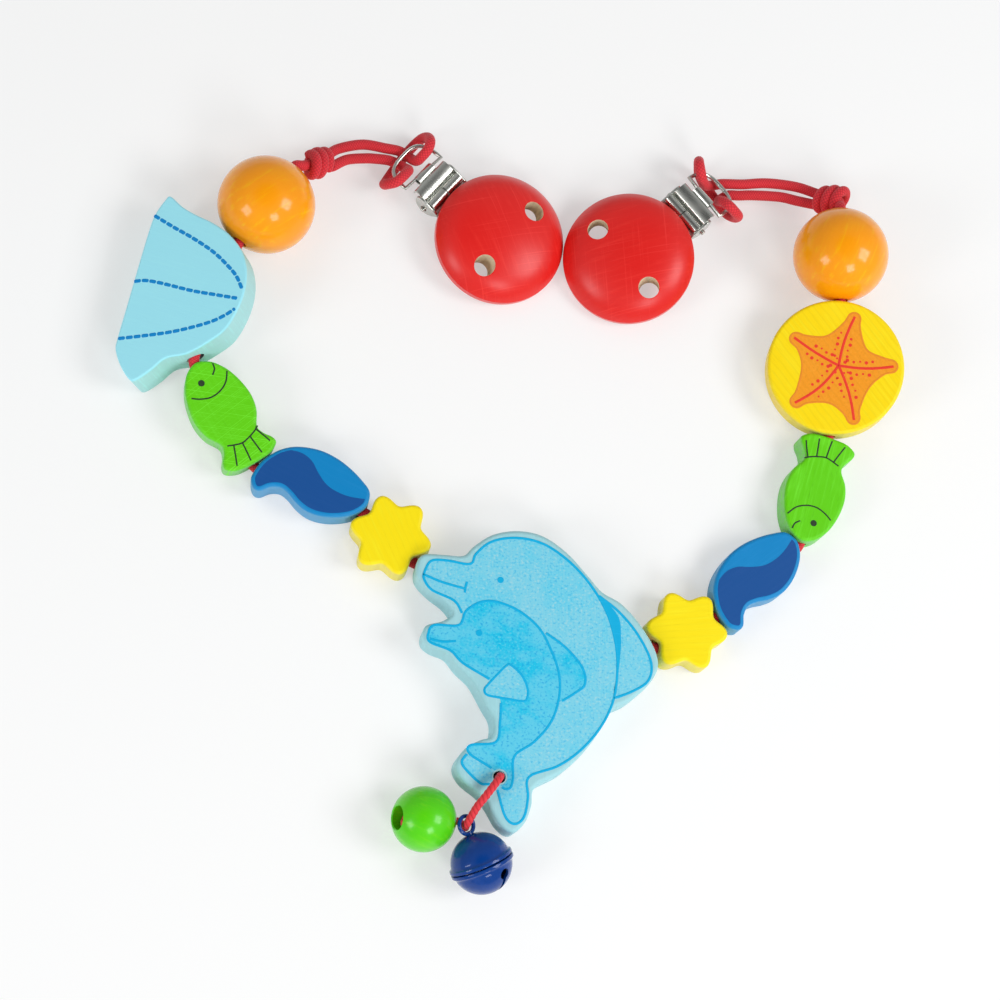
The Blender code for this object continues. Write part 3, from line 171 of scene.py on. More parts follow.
# Beads' turns on the chain: heading, pitch and roll in degrees
BEAD_TURNS_DEG = {
    "left_star": (134.6, 0.0, 0.0),
    "left_wave": (158.3, 0.0, 0.0),
    "left_fish": (122.4, 7.0, 0.0),
    "shell_block": (72.4, 5.0, -13.0),
    "left_ball": (57.9, 2.0, 0.0),
    "right_star": (25.5, 0.0, 0.0),
    "right_wave": (41.0, 0.0, 0.0),
    "right_fish": (73.0, 0.0, 0.0),
    "starfish_disc": (84.9, 8.0, -9.0),
    "right_ball": (89.0, 6.0, 0.0),
}

DOLPHIN_OUTLINE_SHARES = [
    (-0.500, 0.318), (-0.468, 0.345), (-0.390, 0.345), (-0.310, 0.344), (-0.268, 0.376),
    (-0.190, 0.418), (-0.085, 0.434), (0.020, 0.418), (0.120, 0.362), (0.205, 0.286),
    (0.262, 0.233), (0.340, 0.196), (0.415, 0.130), (0.476, 0.046), (0.488, -0.018),
    (0.445, -0.078), (0.370, -0.130), (0.296, -0.162), (0.252, -0.222), (0.180, -0.300),
    (0.090, -0.368), (-0.020, -0.418), (-0.034, -0.476), (-0.060, -0.530), (-0.108, -0.564),
    (-0.160, -0.540), (-0.202, -0.484), (-0.240, -0.444), (-0.312, -0.396), (-0.338, -0.346),
    (-0.300, -0.296), (-0.240, -0.268), (-0.196, -0.254), (-0.188, -0.200), (-0.222, -0.148),
    (-0.272, -0.076), (-0.330, -0.030), (-0.376, 0.014), (-0.436, 0.034), (-0.472, 0.062),
    (-0.462, 0.104), (-0.392, 0.122), (-0.356, 0.148), (-0.384, 0.184), (-0.448, 0.224),
    (-0.498, 0.270),
]
DOLPHIN_LEFT_MOUTH_SHARES = (-0.496, 0.333)
DOLPHIN_RIGHT_MOUTH_SHARES = (0.468, 0.072)
PENDANT_HOLE_SHARES = (-0.163, -0.387)
PENDANT_HOLE_DIAMETER = 0.0037
PRINT_HOLE_DIAMETER = 0.0046
KNOT_RECESS_DIAMETER = 0.0068
KNOT_RECESS_DEPTH = 0.0052
WAVE_OUTLINE_SHARES = [
    (-0.478, -0.250), (-0.425, -0.375), (-0.365, -0.370), (-0.300, -0.255), (-0.222, -0.200),
    (-0.140, -0.240), (-0.045, -0.330), (0.060, -0.385), (0.175, -0.375), (0.300, -0.300),
    (0.420, -0.160), (0.490, 0.010), (0.502, 0.150), (0.470, 0.310), (0.370, 0.425),
    (0.250, 0.520), (0.120, 0.585), (-0.010, 0.605), (-0.130, 0.575), (-0.250, 0.500),
    (-0.345, 0.380), (-0.410, 0.235), (-0.455, 0.080), (-0.478, -0.090),
]
FISH_HALF_OUTLINE_SHARES = [
    (0.470, 0.155), (0.408, 0.280), (0.300, 0.395), (0.160, 0.470), (0.020, 0.492),
    (-0.110, 0.440), (-0.225, 0.322), (-0.300, 0.350), (-0.372, 0.440), (-0.430, 0.448),
    (-0.480, 0.310), (-0.494, 0.130),
]
FISH_END_SHARE = 0.500
SHELL_OUTLINE_SHARES = [
    (0.463, 0.655), (0.436, 0.690), (0.350, 0.728), (0.265, 0.730), (0.110, 0.712),
    (-0.024, 0.694), (-0.180, 0.672), (-0.347, 0.650), (-0.408, 0.630), (-0.478, 0.545),
    (-0.536, 0.430), (-0.533, 0.368), (-0.460, 0.270), (-0.380, 0.185), (-0.325, 0.020),
    (-0.240, -0.115), (-0.145, -0.222), (-0.020, -0.265), (0.098, -0.259), (0.200, -0.208),
    (0.285, -0.110), (0.350, 0.045), (0.385, 0.215), (0.402, 0.375), (0.425, 0.520),
]

# Noises of the finishes: grains to the metre along each axis, detail and roughness
NOISES = {
    "board grain": ((70, 1300, 500), 4.0, 0.6),
    "board pores": ((260, 4200, 1500), 2.0, 0.5),
    "board cloud": ((110, 110, 110), 2.0, 0.5),
    "board sides": ((1500, 1500, 90), 3.0, 0.5),
    "board nicks": ((20, 3000, 20), 1.0, 0.5),
    "worn print": ((90, 130, 90), 4.0, 0.6),
    "print flecks": ((1300, 1500, 1300), 2.0, 0.5),
    "ink grain": ((200, 2600, 900), 3.0, 0.5),
    "stain rings": ((60, 900, 420), 4.0, 0.6),
    "stain flecks": ((500, 3000, 3000), 2.0, 0.5),
    "stain cloud": ((90, 90, 90), 2.0, 0.5),
    "stain nicks": ((36, 2600, 36), 1.0, 0.5),
    "bare rings": ((700, 700, 140), 4.0, 0.5),
    "drill marks": ((120, 120, 3600), 1.0, 0.5),
    "nickel wear": ((160, 160, 160), 3.0, 0.5),
    "nickel hairlines": ((220, 5200, 900), 2.0, 0.5),
    "enamel cloud": ((260, 260, 260), 3.0, 0.5),
    "plastic pebbles": ((1800, 1800, 1800), 2.0, 0.5),
}

# How a noise shows in the colour: where it starts, where it is full, and how strongly
SHOWS = {
    "board grain": (0.46, 0.74, 0.7),
    "board cloud": (0.45, 0.8, 0.3),
    "board pores": (0.60, 0.80, 0.9),
    "board sides": (0.50, 0.72, 0.22),
    "board rings": (0.3, 1.0, 1.0),
    "board nicks": (0.60, 0.68, 1.0),
    "worn print": (0.38, 0.60, 1.0),
    "pale flecks": (0.54, 0.72, 1.0),
    "deep flecks": (0.46, 0.28, 1.0),
    "ink grain": (0.52, 0.82, 0.35),
    "stain rings": (0.50, 0.78, 0.55),
    "stain flecks": (0.60, 0.85, 0.18),
    "stain cloud": (0.4, 0.9, 0.25),
    "stain nicks": (0.66, 0.75, 1.0),
    "bare rings": (0.42, 0.72, 0.5),
    # Painted shade in the braid's grooves and painted highlights on its crowns
    "plait groove shade": (0.0, 0.5, 1.0),
    "plait crown highlight": (0.5, 1.0, 0.3),
    "cord fibres": (0.55, 0.8, 0.35),
    "nickel wear": (0.40, 0.75, 0.35),
    "nickel dulling": (0.35, 0.8, 0.16),
    "enamel cloud": (0.45, 0.8, 0.4),
    "plastic pebbles": (0.4, 0.8, 0.2),
}

# Surfaces: middle roughness, its swing with the noise, depth of the relief
SURFACES = {
    "board": (0.5, 0.16, 0.00006),
    "ink": (0.45, 0.12, 0.00002),
    "varnish": (0.45, 0.1, 0.00012),
    "bare wood": (0.72, 0.2, 0.0001),
    "braid": (0.76, -0.12, 0.00007),
    "nickel": (0.24, 0.1, 0.00004),
    "enamel": (0.35, 0.08, 0.0001),
    "plastic": (0.5, 0.2, 0.00004),
}
DEEP_SHARES = {
    "board": 0.72, "varnish": 0.7, "bare wood": 0.62, "nickel": 0.66, "plastic": 0.85,
}
FIBRE_STRETCH = (1.6, 7.0, 1.0)
FIBRE_TURN = 0.7
FIBRE_SCALE = 2.6
FIBRE_DETAIL = 3.0

# Paler and deeper tints that the grain and wear of a colour show
MOTHER_TINTS = ((170, 218, 228), (58, 182, 228))
CALF_TINTS = ((104, 208, 235), (0, 160, 222))
PALE_ORANGE = (255, 200, 0)
PALE_RED = (238, 50, 42)
PALE_GREEN = (128, 226, 20)

# Printed dolphins, in pixels of the photograph
MOTHER_BACK_PIXELS = [
    (424, 573), (431, 561), (447, 560.5), (470, 564), (476, 554), (490, 542.5), (510, 538),
    (531.5, 540), (551, 548), (573, 565), (592, 587), (607, 613), (615, 640), (617.5, 667),
    (614, 698), (602, 725), (582, 749), (558, 766), (529, 777), (528, 797.5), (524, 817),
    (514.5, 824), (505, 816), (497.5, 790),
]
MOTHER_FLUKE_PIXELS = [
    (495.8, 787.4), (488.4, 784.2), (480, 783), (465, 768.4), (462, 761), (467, 754), (490, 764),
]
MOTHER_JAW_PIXELS = [(424, 573), (424, 579), (432, 590), (454, 600.5), (462, 613)]
MOTHER_BELLY_PIXELS = [(498, 752), (506, 722), (496, 690), (468, 662), (452, 640), (460, 622)]
MOTHER_MOUTH_PIXELS = [(423, 574), (442, 582), (464, 588.4)]
MOTHER_CHEEK_PIXELS = [(467, 581.7), (465.6, 587), (464.8, 592.6)]
MOTHER_EYE_PIXEL = (500.5, 580)
MOTHER_FIN_PIXELS = [
    (599, 596), (619, 612), (638, 635), (651, 662), (648, 681), (631, 692), (614, 698),
]
MOTHER_FIN_ROOT_PIXELS = [
    (614, 698), (617.5, 667), (615, 640), (607, 613), (599, 596),
]
MOTHER_FIN_SHADE_PIXELS = [
    (599, 596), (617.9, 615.8), (621, 637.9), (620, 656.8), (617.9, 675.8), (614, 698),
    (617.5, 667), (615, 640), (607, 613),
]
CALF_PIXELS = [
    (459, 625), (466, 611), (481, 602), (497.5, 602), (519, 611), (539, 628), (551, 650),
    (559, 674), (559, 698), (551, 722), (534, 742), (514.5, 756), (513, 778), (510, 788),
    (502, 787), (495, 771), (470, 754), (471, 745), (496, 742), (500, 722), (501, 703),
    (489.5, 679), (463, 663), (450.5, 650.5), (430, 642), (428.5, 633), (434.5, 625),
]
CALF_THROAT_PIXEL = (489.5, 679)
CALF_MOUTH_PIXELS = [(430, 639), (443, 641.5), (456, 641)]
CALF_EYE_PIXEL = (479, 633)
CALF_FLIPPER_PIXELS = [
    (484.6, 688.5), (495, 677), (506.5, 665.6), (511, 665.4), (521.5, 675), (527.4, 688.4),
    (526.6, 699), (522, 701), (507, 698.6), (489.5, 695.6), (485, 692.5),
]
CALF_FIN_PIXELS = [(546, 633), (565, 647), (582, 667), (585, 684), (575, 693), (562, 701)]
CALF_FIN_ROOT_PIXELS = [(559, 698), (559, 674), (551, 650), (546, 633)]
EYE_RADIUS = 0.00095

# Levels of the prints, counted in print heights above the wood
PRINT_LEVELS = {
    "ground": 1, "calf": 2, "dolphin line": 2.5, "flipper": 3, "dolphin eye": 4,
    "fish eye": 1.5, "rim": 1.2, "vein": 1.5, "spot": 2,
}

# Printed starfish, in pixels of the photograph
STARFISH_TIP_PIXELS = [
    (864.6, 316), (908, 372), (863.5, 432), (797.4, 412.5), (796.3, 339.3),
]
STARFISH_VALLEY_PIXELS = [(875.5, 354), (878, 394), (836, 410), (808, 372), (834, 340)]
STARFISH_CENTRE_PIXEL = (846.3, 370.9)
STARFISH_DISC_PIXEL = (843.6, 371.9)
STARFISH_SHARE = 0.955
STARFISH_BOWS_MM = (-0.7, 0.8, -0.8, -1.3, -0.4)
STARFISH_GRAIN_TURN_DEG = -42
ARM_SHOULDERS = [(0.0044, 0.0027), (0.0010, 0.0017)]
RIM_WIDTH = 0.0006
VEIN_WIDTH = 0.00085
VEIN_END_GAP = 0.0012
VEIN_STEPS = 8
SPOTS_PER_SIDE = 5
SPOT_START_SHARE = 0.13
SPOT_STEP_SHARE = 0.115
SPOT_STAGGER_SHARE = 0.03
SPOT_AWAY = 0.0018
SPOT_AWAY_STEP = 0.0003
SPOT_RADIUS = 0.00034
SPOT_RADIUS_STEP = 0.00011
SPOT_SIDES = 14

# Fish: the sign of the way that they swim, and how much grain and how many scratches show
FISH_FINISHES = {"left_fish": (1, 0.4, 0.9), "right_fish": (-1, 1.0, 0.0)}

# Printed lines of the other beads, in millimetres in the bead's own frame
FISH_EYE_MM = (11.2, 1.8)
FISH_EYE_RADIUS = 0.0010
FISH_LINES_MM = [
    [(14.9, -4.2), (13.1, -3.8), (11.8, -2.4)],
    [(10.8, -6.8), (8, -4.7), (6.4, -1.7), (6.1, 1.6), (7.2, 4.6), (8.6, 6.7)],
    [(-8.1, -6.3), (-9.1, -4.6), (-10, -2), (-10.4, 0.7), (-9.1, 4.7)],
    [(-8.9, -5.4), (-11.5, -6.4), (-13.9, -7.2)],
    [(-9.9, -2.7), (-13.0, -3.0), (-15.8, -3.3)],
    [(-10.4, 0.3), (-13.4, 0.5), (-16.3, 0.8)],
    [(-9.8, 2.9), (-13.0, 4.1), (-15.7, 5.2)],
]
WAVE_CREST_MM = [
    (-22.0, 5.0), (-17.0, 5.2), (-12.9, 6.9), (-9.4, 8.0), (-5.8, 8.4), (-2.4, 7.3), (0.6, 4.8),
    (4.1, 2.5), (7.7, 1.6), (12.2, 1.7), (17.9, 3.2), (22.0, 4.4),
]
STITCH_STEPS = 8
STITCH_END_SHARE = 0.55
SHELL_STITCHES_MM = [
    [(19.7, 25.9), (17.8, 19), (15.9, 11.3), (13.6, 4.2), (10.9, -1.2), (8.2, -5.4), (4.7, -8.6)],
    [(-2, 24.4), (-0.8, 21.3), (-0.3, 17.4), (-0.1, 12.3), (0.1, 6), (0.7, 0.2), (1.6, -8.1)],
    [(-20.4, 22.7), (-16.9, 14.3), (-13.3, 6.5), (-8.4, -1.7), (-4.8, -6.0), (-1.6, -8.6)],
]

# Clips, in a clip's own frame: origin under the disc's middle, x towards the ring, z up
CLIP_TURNS_DEG = {"left": (140.5, 10.39), "right": (40.5, 15.11)}
EYE_REACH = 0.0310
PLATE_THICKNESS = 0.0008
PLATE_WIDTH = 0.0155
DISC_DIAMETER = 0.0415
DISC_THICKNESS = 0.0110
DISC_RIM_HEIGHT = 0.0034
DISC_EDGE_ROUND = 0.0013
DISC_DOME_DROP = 0.0046
DISC_SHOULDER_POWER = 8
DISC_DOME_STEPS = 32
DISC_EDGE_STEPS = 6
DISC_HOLE_EASE = 0.0004
VENT_DIAMETER = 0.0065
VENT_SPACING = 0.0245
VENT_OFFSET = -0.002

# Bent sheet of the clips, seen from the side as places (x, z)
PLATE_SHEET = 0.0007
PLATE_END_X = -0.0090
ROLL_START_X = 0.0204
ROLL_MIDDLE = (0.0227, 0.0004)
ROLL_RADIUS = 0.0016
ROLL_DIP = [(0.0249, 0.0), (0.0252, 0.0002)]
HOOD_X = 0.0277
HOOD_HEIGHT = 0.0009
HOOD_BOW = [(-0.0022, -0.0003), (-0.0019, 0.0), (-0.0004, 0.0003), (0.0012, 0.0001),
            (0.0017, -0.0004)]
HOOD_EDGE = (0.0018, -0.0002)
NOTCH_OUTLINE = [
    (0.0210, -0.0003), (0.0226, -0.0001), (0.0242, -0.0003), (0.0242, 0.0003), (0.0226, 0.0001),
    (0.0210, 0.0003),
]
NOTCH_RISE = 0.0011
NOTCH_TOP = 0.003
EYE_WIDTH = 0.0070
EYE_SHEET = 0.0006
EYE_START_X = 0.0003
EYE_ROLL_RADIUS = 0.0013
EAR_EDGE_ROUND = 0.0002
SHEET_ROUND_SHARE = 0.22
FLAP_SHEET = 0.0008
FLAP_LEVEL = -0.00385
FLAP_LIP = [(0.0040, -0.0001), (0.0046, 0.0), (0.0056, 0.0), (0.0140, 0.0), (0.0224, 0.0)]
FLAP_ROLL_RADIUS = 0.00145
ROLL_STEPS = 28
EAR_OUTLINE = [
    (0.0192, -0.0010), (0.0200, 0.0001), (0.0222, 0.0006), (0.0246, 0.0011), (0.0266, 0.0012),
    (0.0278, 0.0002), (0.0279, -0.0016), (0.0270, -0.0042), (0.0250, -0.0058), (0.0226, -0.0057),
    (0.0208, -0.0040), (0.0198, -0.0022),
]
PIN_PLACE = Vector((0.0240, 0, -0.0034))
PIN_DIAMETER = 0.0016
PIN_HALF = 0.00865
PIN_EDGE_ROUND = 0.0003
FLAP_WIDTH = 0.0131
LEVER_OPEN_DEG = {"left": 0.0, "right": 6.0}
RIVET_X = 0.0172
RIVET_STEPS = 48
RIVET_SECTION = [
    (0.0, -0.0021), (0.0010, -0.0021), (0.0017, -0.0020), (0.0021, -0.0018), (0.0023, -0.0015),
    (0.0023, -0.0014), (0.0012, -0.0014), (0.0012, 0.0060), (0.0, 0.0060),
]

# Knots past the balls: place from the ball's mouth, heading and pitch
KNOT_LENGTH = 0.0096
KNOT_WRAPPED_LENGTH = 0.0106
KNOT_RADIUS = 0.0050
KNOT_WRAPS = 2.5
KNOT_WRAP_STEPS = 12
KNOT_END_SHARE = 0.86
KNOT_SLANT_SHARE = 0.45
STRING_END_SHARE = 0.3
KNOT_PLACES = {
    "left": ((0.0034, -0.0022, -0.0020), 32.0, -35.0),
    "right": ((0.0041, -0.0028, -0.0022), 160.0, -36.0),
}
STRAND_SPREAD = 0.0040

# Loops' routes, in the ring's frame, and the pendant's rise over the dolphin's edge
LOOP_ROUTES = {
    "left": [
        (0.0264, 0.0108, 0.0054), (0.0218, 0.0044, 0.0052),
        (0.0155, 0.0004, 0.0053), (0.0120, -0.0016, 0.0054), (0.0092, -0.0022, 0.0054),
        (0.0066, -0.0021, 0.0060), (0.0049, -0.0022, 0.0078), (0.0042, -0.0036, 0.0101),
        (0.0041, -0.0060, 0.0114), (0.0053, -0.0086, 0.0110), (0.0073, -0.0104, 0.0082),
        (0.0092, -0.0104, 0.0050), (0.0102, -0.0086, 0.0026), (0.0104, -0.0050, 0.0018),
        (0.0100, 0.0000, 0.0018), (0.0094, 0.0048, 0.0018), (0.0086, 0.0084, 0.0030),
        (0.0077, 0.0104, 0.0060), (0.0060, 0.0106, 0.0094), (0.0043, 0.0092, 0.0112),
        (0.0039, 0.0066, 0.0115), (0.0042, 0.0040, 0.0102), (0.0049, 0.0022, 0.0078),
        (0.0066, 0.0018, 0.0060), (0.0092, 0.0020, 0.0054), (0.0122, 0.0030, 0.0054),
        (0.0154, 0.0052, 0.0053), (0.0182, 0.0075, 0.0052), (0.0220, 0.0118, 0.0054),
    ],
    "right": [
        (0.0300, -0.0148, 0.0062), (0.0236, -0.0080, 0.0056), (0.0170, -0.0034, 0.0055),
        (0.0135, -0.0006, 0.0055), (0.0112, 0.0012, 0.0054), (0.0088, 0.0025, 0.0053),
        (0.0066, 0.0035, 0.0066), (0.0050, 0.0046, 0.0100), (0.0046, 0.0062, 0.0134),
        (0.0062, 0.0090, 0.0138), (0.0086, 0.0106, 0.0100), (0.0094, 0.0104, 0.0064),
        (0.0090, 0.0086, 0.0032), (0.0084, 0.0052, 0.0018), (0.0080, 0.0010, 0.0018),
        (0.0076, -0.0034, 0.0018), (0.0072, -0.0074, 0.0026), (0.0070, -0.0102, 0.0054),
        (0.0064, -0.0112, 0.0092), (0.0050, -0.0102, 0.0126), (0.0042, -0.0078, 0.0142),
        (0.0044, -0.0050, 0.0124), (0.0052, -0.0036, 0.0088), (0.0066, -0.0029, 0.0064),
        (0.0086, -0.0028, 0.0054), (0.0108, -0.0034, 0.0054), (0.0132, -0.0054, 0.0055),
        (0.0170, -0.0082, 0.0055), (0.0236, -0.0140, 0.0056), (0.0268, -0.0184, 0.0062),
    ],
}
RING_WIRE_DIAMETER = 0.0013
RING_WIDTH = 0.0170
RING_LENGTH = 0.0092
RING_SQUARENESS = 0.62
RING_STEPS = 64
RING_FAR_HEIGHT = 0.0082

# Pendant
PENDANT_CORD_DIAMETER = 0.0024
PENDANT_KNOT_DIAMETER = 0.0052
SUNK_KNOT_LENGTH = 0.0034
SUNK_KNOT_WRAPS = 1.5
SUNK_KNOT_STRAND = 0.0018
UNDER_KNOT_WRAPS = 2
UNDER_KNOT_STRAND = 0.0020
STEM_TOP_DEPTH = 0.0010
PENDANT_RISE_ROUTE = [
    (-0.0130, -0.0364, 0.0172), (-0.0148, -0.0388, 0.0181), (-0.0168, -0.0414, 0.0176),
    (-0.0188, -0.0440, 0.0158),
]
PENDANT_EYE_DROP = 0.0046
PENDANT_MOUTH_LEAD = 0.0020
GREEN_BALL_DIAMETER = 0.019
GREEN_BALL_TURN_DEG = (180.0, 24.0)
GREEN_BALL_BORE = 0.0036
GREEN_BALL_MOUTH_DIAMETER = 0.0068
GREEN_BALL_MOUTH_DEPTH = 0.0062
GREEN_BALL_RINGS = 40
MOUTH_FLOOR_SHARE = 0.98
TAIL_SIDE_SHARES = (-0.203, -0.4844)
BELL_OFFSET = (-0.0018, -0.0156)
BELL_DIAMETER = 0.0180
BELL_WALL = 0.0008
BELL_FLANGE = 0.0006
BELL_FLANGE_THICKNESS = 0.0007
BELL_RIDGE_THICKNESS = 0.0011
BELL_RIDGE_MIDDLE = 0.00035
BELL_RIDGE_EASES = (0.0001, 0.0003, 0.0004)
BELL_ARC_STEPS = 20
BELL_SLOT_TURN_DEG = -30.0
BELL_SLOT_WIDTH = 0.0012
BELL_SLOT_HOLE_DIAMETER = 0.0033
BELL_SLOT_REACH_DEG = 62.0
BELL_HEADING_DEG = 114.0
BELL_PITCH_DEG = 13.0
BELL_TURN_DEG = 62.0
BELL_EYE_TURN_DEG = -60.0
BELL_EYE_WIRE = 0.0012
BELL_EYE_DIAMETER = 0.0064
BELL_EYE_STEPS = 64
BELL_EYE_SIDES = 20
BELL_EYE_STEM = 0.0016
BELL_EYE_FOOT_DIAMETER = 0.0036
BELL_EYE_FOOT_HEIGHT = 0.0008


def linear(red, green, blue):
    """A colour as a screen shows it, in parts of 255, as linear light."""
    shares = (red / 255, green / 255, blue / 255)
    return tuple(s / 12.92 if s <= 0.04045 else ((s + 0.055) / 1.055) ** 2.4 for s in shares)


def paint_setting(name, description, colour):
    return FloatVectorProperty(name=name, description=description, subtype="COLOR", size=3,
                               min=0, max=1, default=linear(*colour))


def length_setting(name, description, value):
    return FloatProperty(name=name, description=description, subtype="DISTANCE", unit="LENGTH",
                         min=0, default=value, precision=5)


class PramChainColours(bpy.types.PropertyGroup):
    """Colours of the paints, cord and metal"""

    dolphin_face: paint_setting("Mother", "Printed body of the mother dolphin", (104, 208, 235))
    calf_face: paint_setting("Calf", "Printed body of the calf", (16, 196, 234))
    dolphin_block: paint_setting("Dolphin block", "Margin and sides of the block", (160, 212, 220))
    dolphin_ink: paint_setting("Dolphin lines", "Lines of the printed dolphins", (0, 176, 226))
    star_face: paint_setting("Star", "Faces of the star beads", (255, 230, 0))
    star_side: paint_setting("Star side", "Sides of the star beads", (240, 222, 110))
    wave_light: paint_setting("Wave crest", "Light part of the wave beads", (0, 134, 200))
    wave_dark: paint_setting("Wave water", "Dark part of the wave beads", (14, 80, 152))
    wave_side: paint_setting("Wave side", "Sides of the wave beads", (88, 158, 202))
    fish_face: paint_setting("Fish", "Faces of the fish beads", (98, 210, 0))
    fish_side: paint_setting("Fish side", "Sides of the fish beads", (134, 208, 120))
    fish_ink: paint_setting("Fish lines", "Lines of the printed fish", (44, 62, 40))
    shell_face: paint_setting("Shell", "Face of the shell", (160, 233, 248))
    shell_side: paint_setting("Shell side", "Sides of the shell", (168, 220, 222))
    shell_stitch: paint_setting("Shell stitches", "Printed stitches of the shell", (0, 136, 208))
    disc_face: paint_setting("Starfish disc", "Ground of the starfish disc", (255, 222, 0))
    disc_side: paint_setting("Starfish side", "Side of the starfish disc", (244, 216, 96))
    starfish_body: paint_setting("Starfish", "Body of the printed starfish", (247, 156, 30))
    starfish_edge: paint_setting("Starfish edge", "Edge of the printed starfish", (236, 142, 40))
    starfish_ink: paint_setting("Starfish lines", "Lines of the starfish", (238, 62, 46))
    ball_orange: paint_setting("Orange", "Varnished orange balls", (255, 158, 0))
    clip_red: paint_setting("Red", "Varnished clip discs", (226, 30, 26))
    pendant_green: paint_setting("Green", "Pendant's green ball", (84, 212, 6))
    raw_wood: paint_setting("Raw wood", "Bare wood in the air holes", (232, 214, 184))
    cord_red: paint_setting("Cord", "Braided cord", (222, 38, 52))
    # Painted shade for the grooves between the braid's strands
    cord_shade: paint_setting("Cord groove shade", "Painted shade in the braid's grooves", (150, 8, 22))
    bell_blue: paint_setting("Bell", "Blue enamel of the bell", (0, 58, 136))
    nickel: paint_setting("Nickel", "Nickel of the clips", (206, 208, 202))
    pad_white: paint_setting("Pad", "Plastic pad of the clips", (232, 234, 230))
    floor: paint_setting("Floor", "Pale floor", (250, 251, 251))


class PramChainSizes(bpy.types.PropertyGroup):
    """Sizes of the print, the braid and the rounded edges, and the strength of the lights"""

    edge_round: length_setting("Edge rounding", "Rounding of the cut beads' edges", 0.0012)
    film_height: length_setting("Print height", "How far the print stands on the wood", 0.00003)
    dolphin_line: length_setting("Dolphin line", "Width of the dolphins' lines", 0.00076)
    fish_line: length_setting("Fish line", "Width of the fishes' lines", 0.00046)
    stitch_width: length_setting("Stitch width", "Width of the shell's stitches", 0.00112)
    stitch_pitch: length_setting("Stitch pitch", "Stitch to stitch", 0.00240)
    wave_rim: length_setting("Wave rim", "Light rim round the dark water", 0.00060)
    braid_pitch: length_setting("Braid pitch", "Length of one plait of the cord", 0.00080)
    braid_depth: length_setting("Braid depth", "Depth of the braid's grooves", 0.00005)
    braid_strands: IntProperty(name="Strands", description="Strands round the cord", default=16,
                               min=4, max=24)
    pendant_pitch: length_setting("Pendant pitch", "Length of a plait of the pendant", 0.00150)
    pendant_strands: IntProperty(name="Pendant strands", description="Strands round its cord",
                                 default=6, min=4, max=24)
    key_power: FloatProperty(name="Key light", description="Power of the main softbox",
                             subtype="POWER", unit="POWER", default=6.4, min=0)
    side_power: FloatProperty(name="Side light", description="Power of the second softbox",
                              subtype="POWER", unit="POWER", default=3.8, min=0)
    sky_strength: FloatProperty(name="Sky", description="Strength of the even light",
                                subtype="FACTOR", default=0.46, min=0, max=2)


class Value:
    """A shader number. Python's operators on it add Math nodes."""

    def __init__(self, finish, socket):
        self.finish, self.socket = finish, socket

    def apply(self, operation, first, second=None):
        inputs = {0: first} if second is None else {0: first, 1: second}
        return self.finish.value("ShaderNodeMath", 0, {"operation": operation}, inputs)

    def __add__(self, other):
        return self.apply("ADD", self, other)

    def __radd__(self, other):
        return self.apply("ADD", other, self)

    def __sub__(self, other):
        return self.apply("SUBTRACT", self, other)

    def __rsub__(self, other):
        return self.apply("SUBTRACT", other, self)

    def __mul__(self, other):
        return self.apply("MULTIPLY", self, other)

    def __rmul__(self, other):
        return self.apply("MULTIPLY", other, self)

    def sine(self):
        return self.apply("SINE", self)

    def size(self):
        return self.apply("ABSOLUTE", self)

    def between(self, low, high):
        """0 below the low value, 1 above the high one, smooth between."""
        settings = {"interpolation_type": "SMOOTHSTEP"}
        return self.finish.value("ShaderNodeMapRange", "Result", settings,
                                 {"Value": self, "From Min": low, "From Max": high})

    def shown(self, name, share=1.0):
        """How strongly a noise shows in the colour."""
        low, high, strength = SHOWS[name]
        return self.between(low, high) * (strength * share)


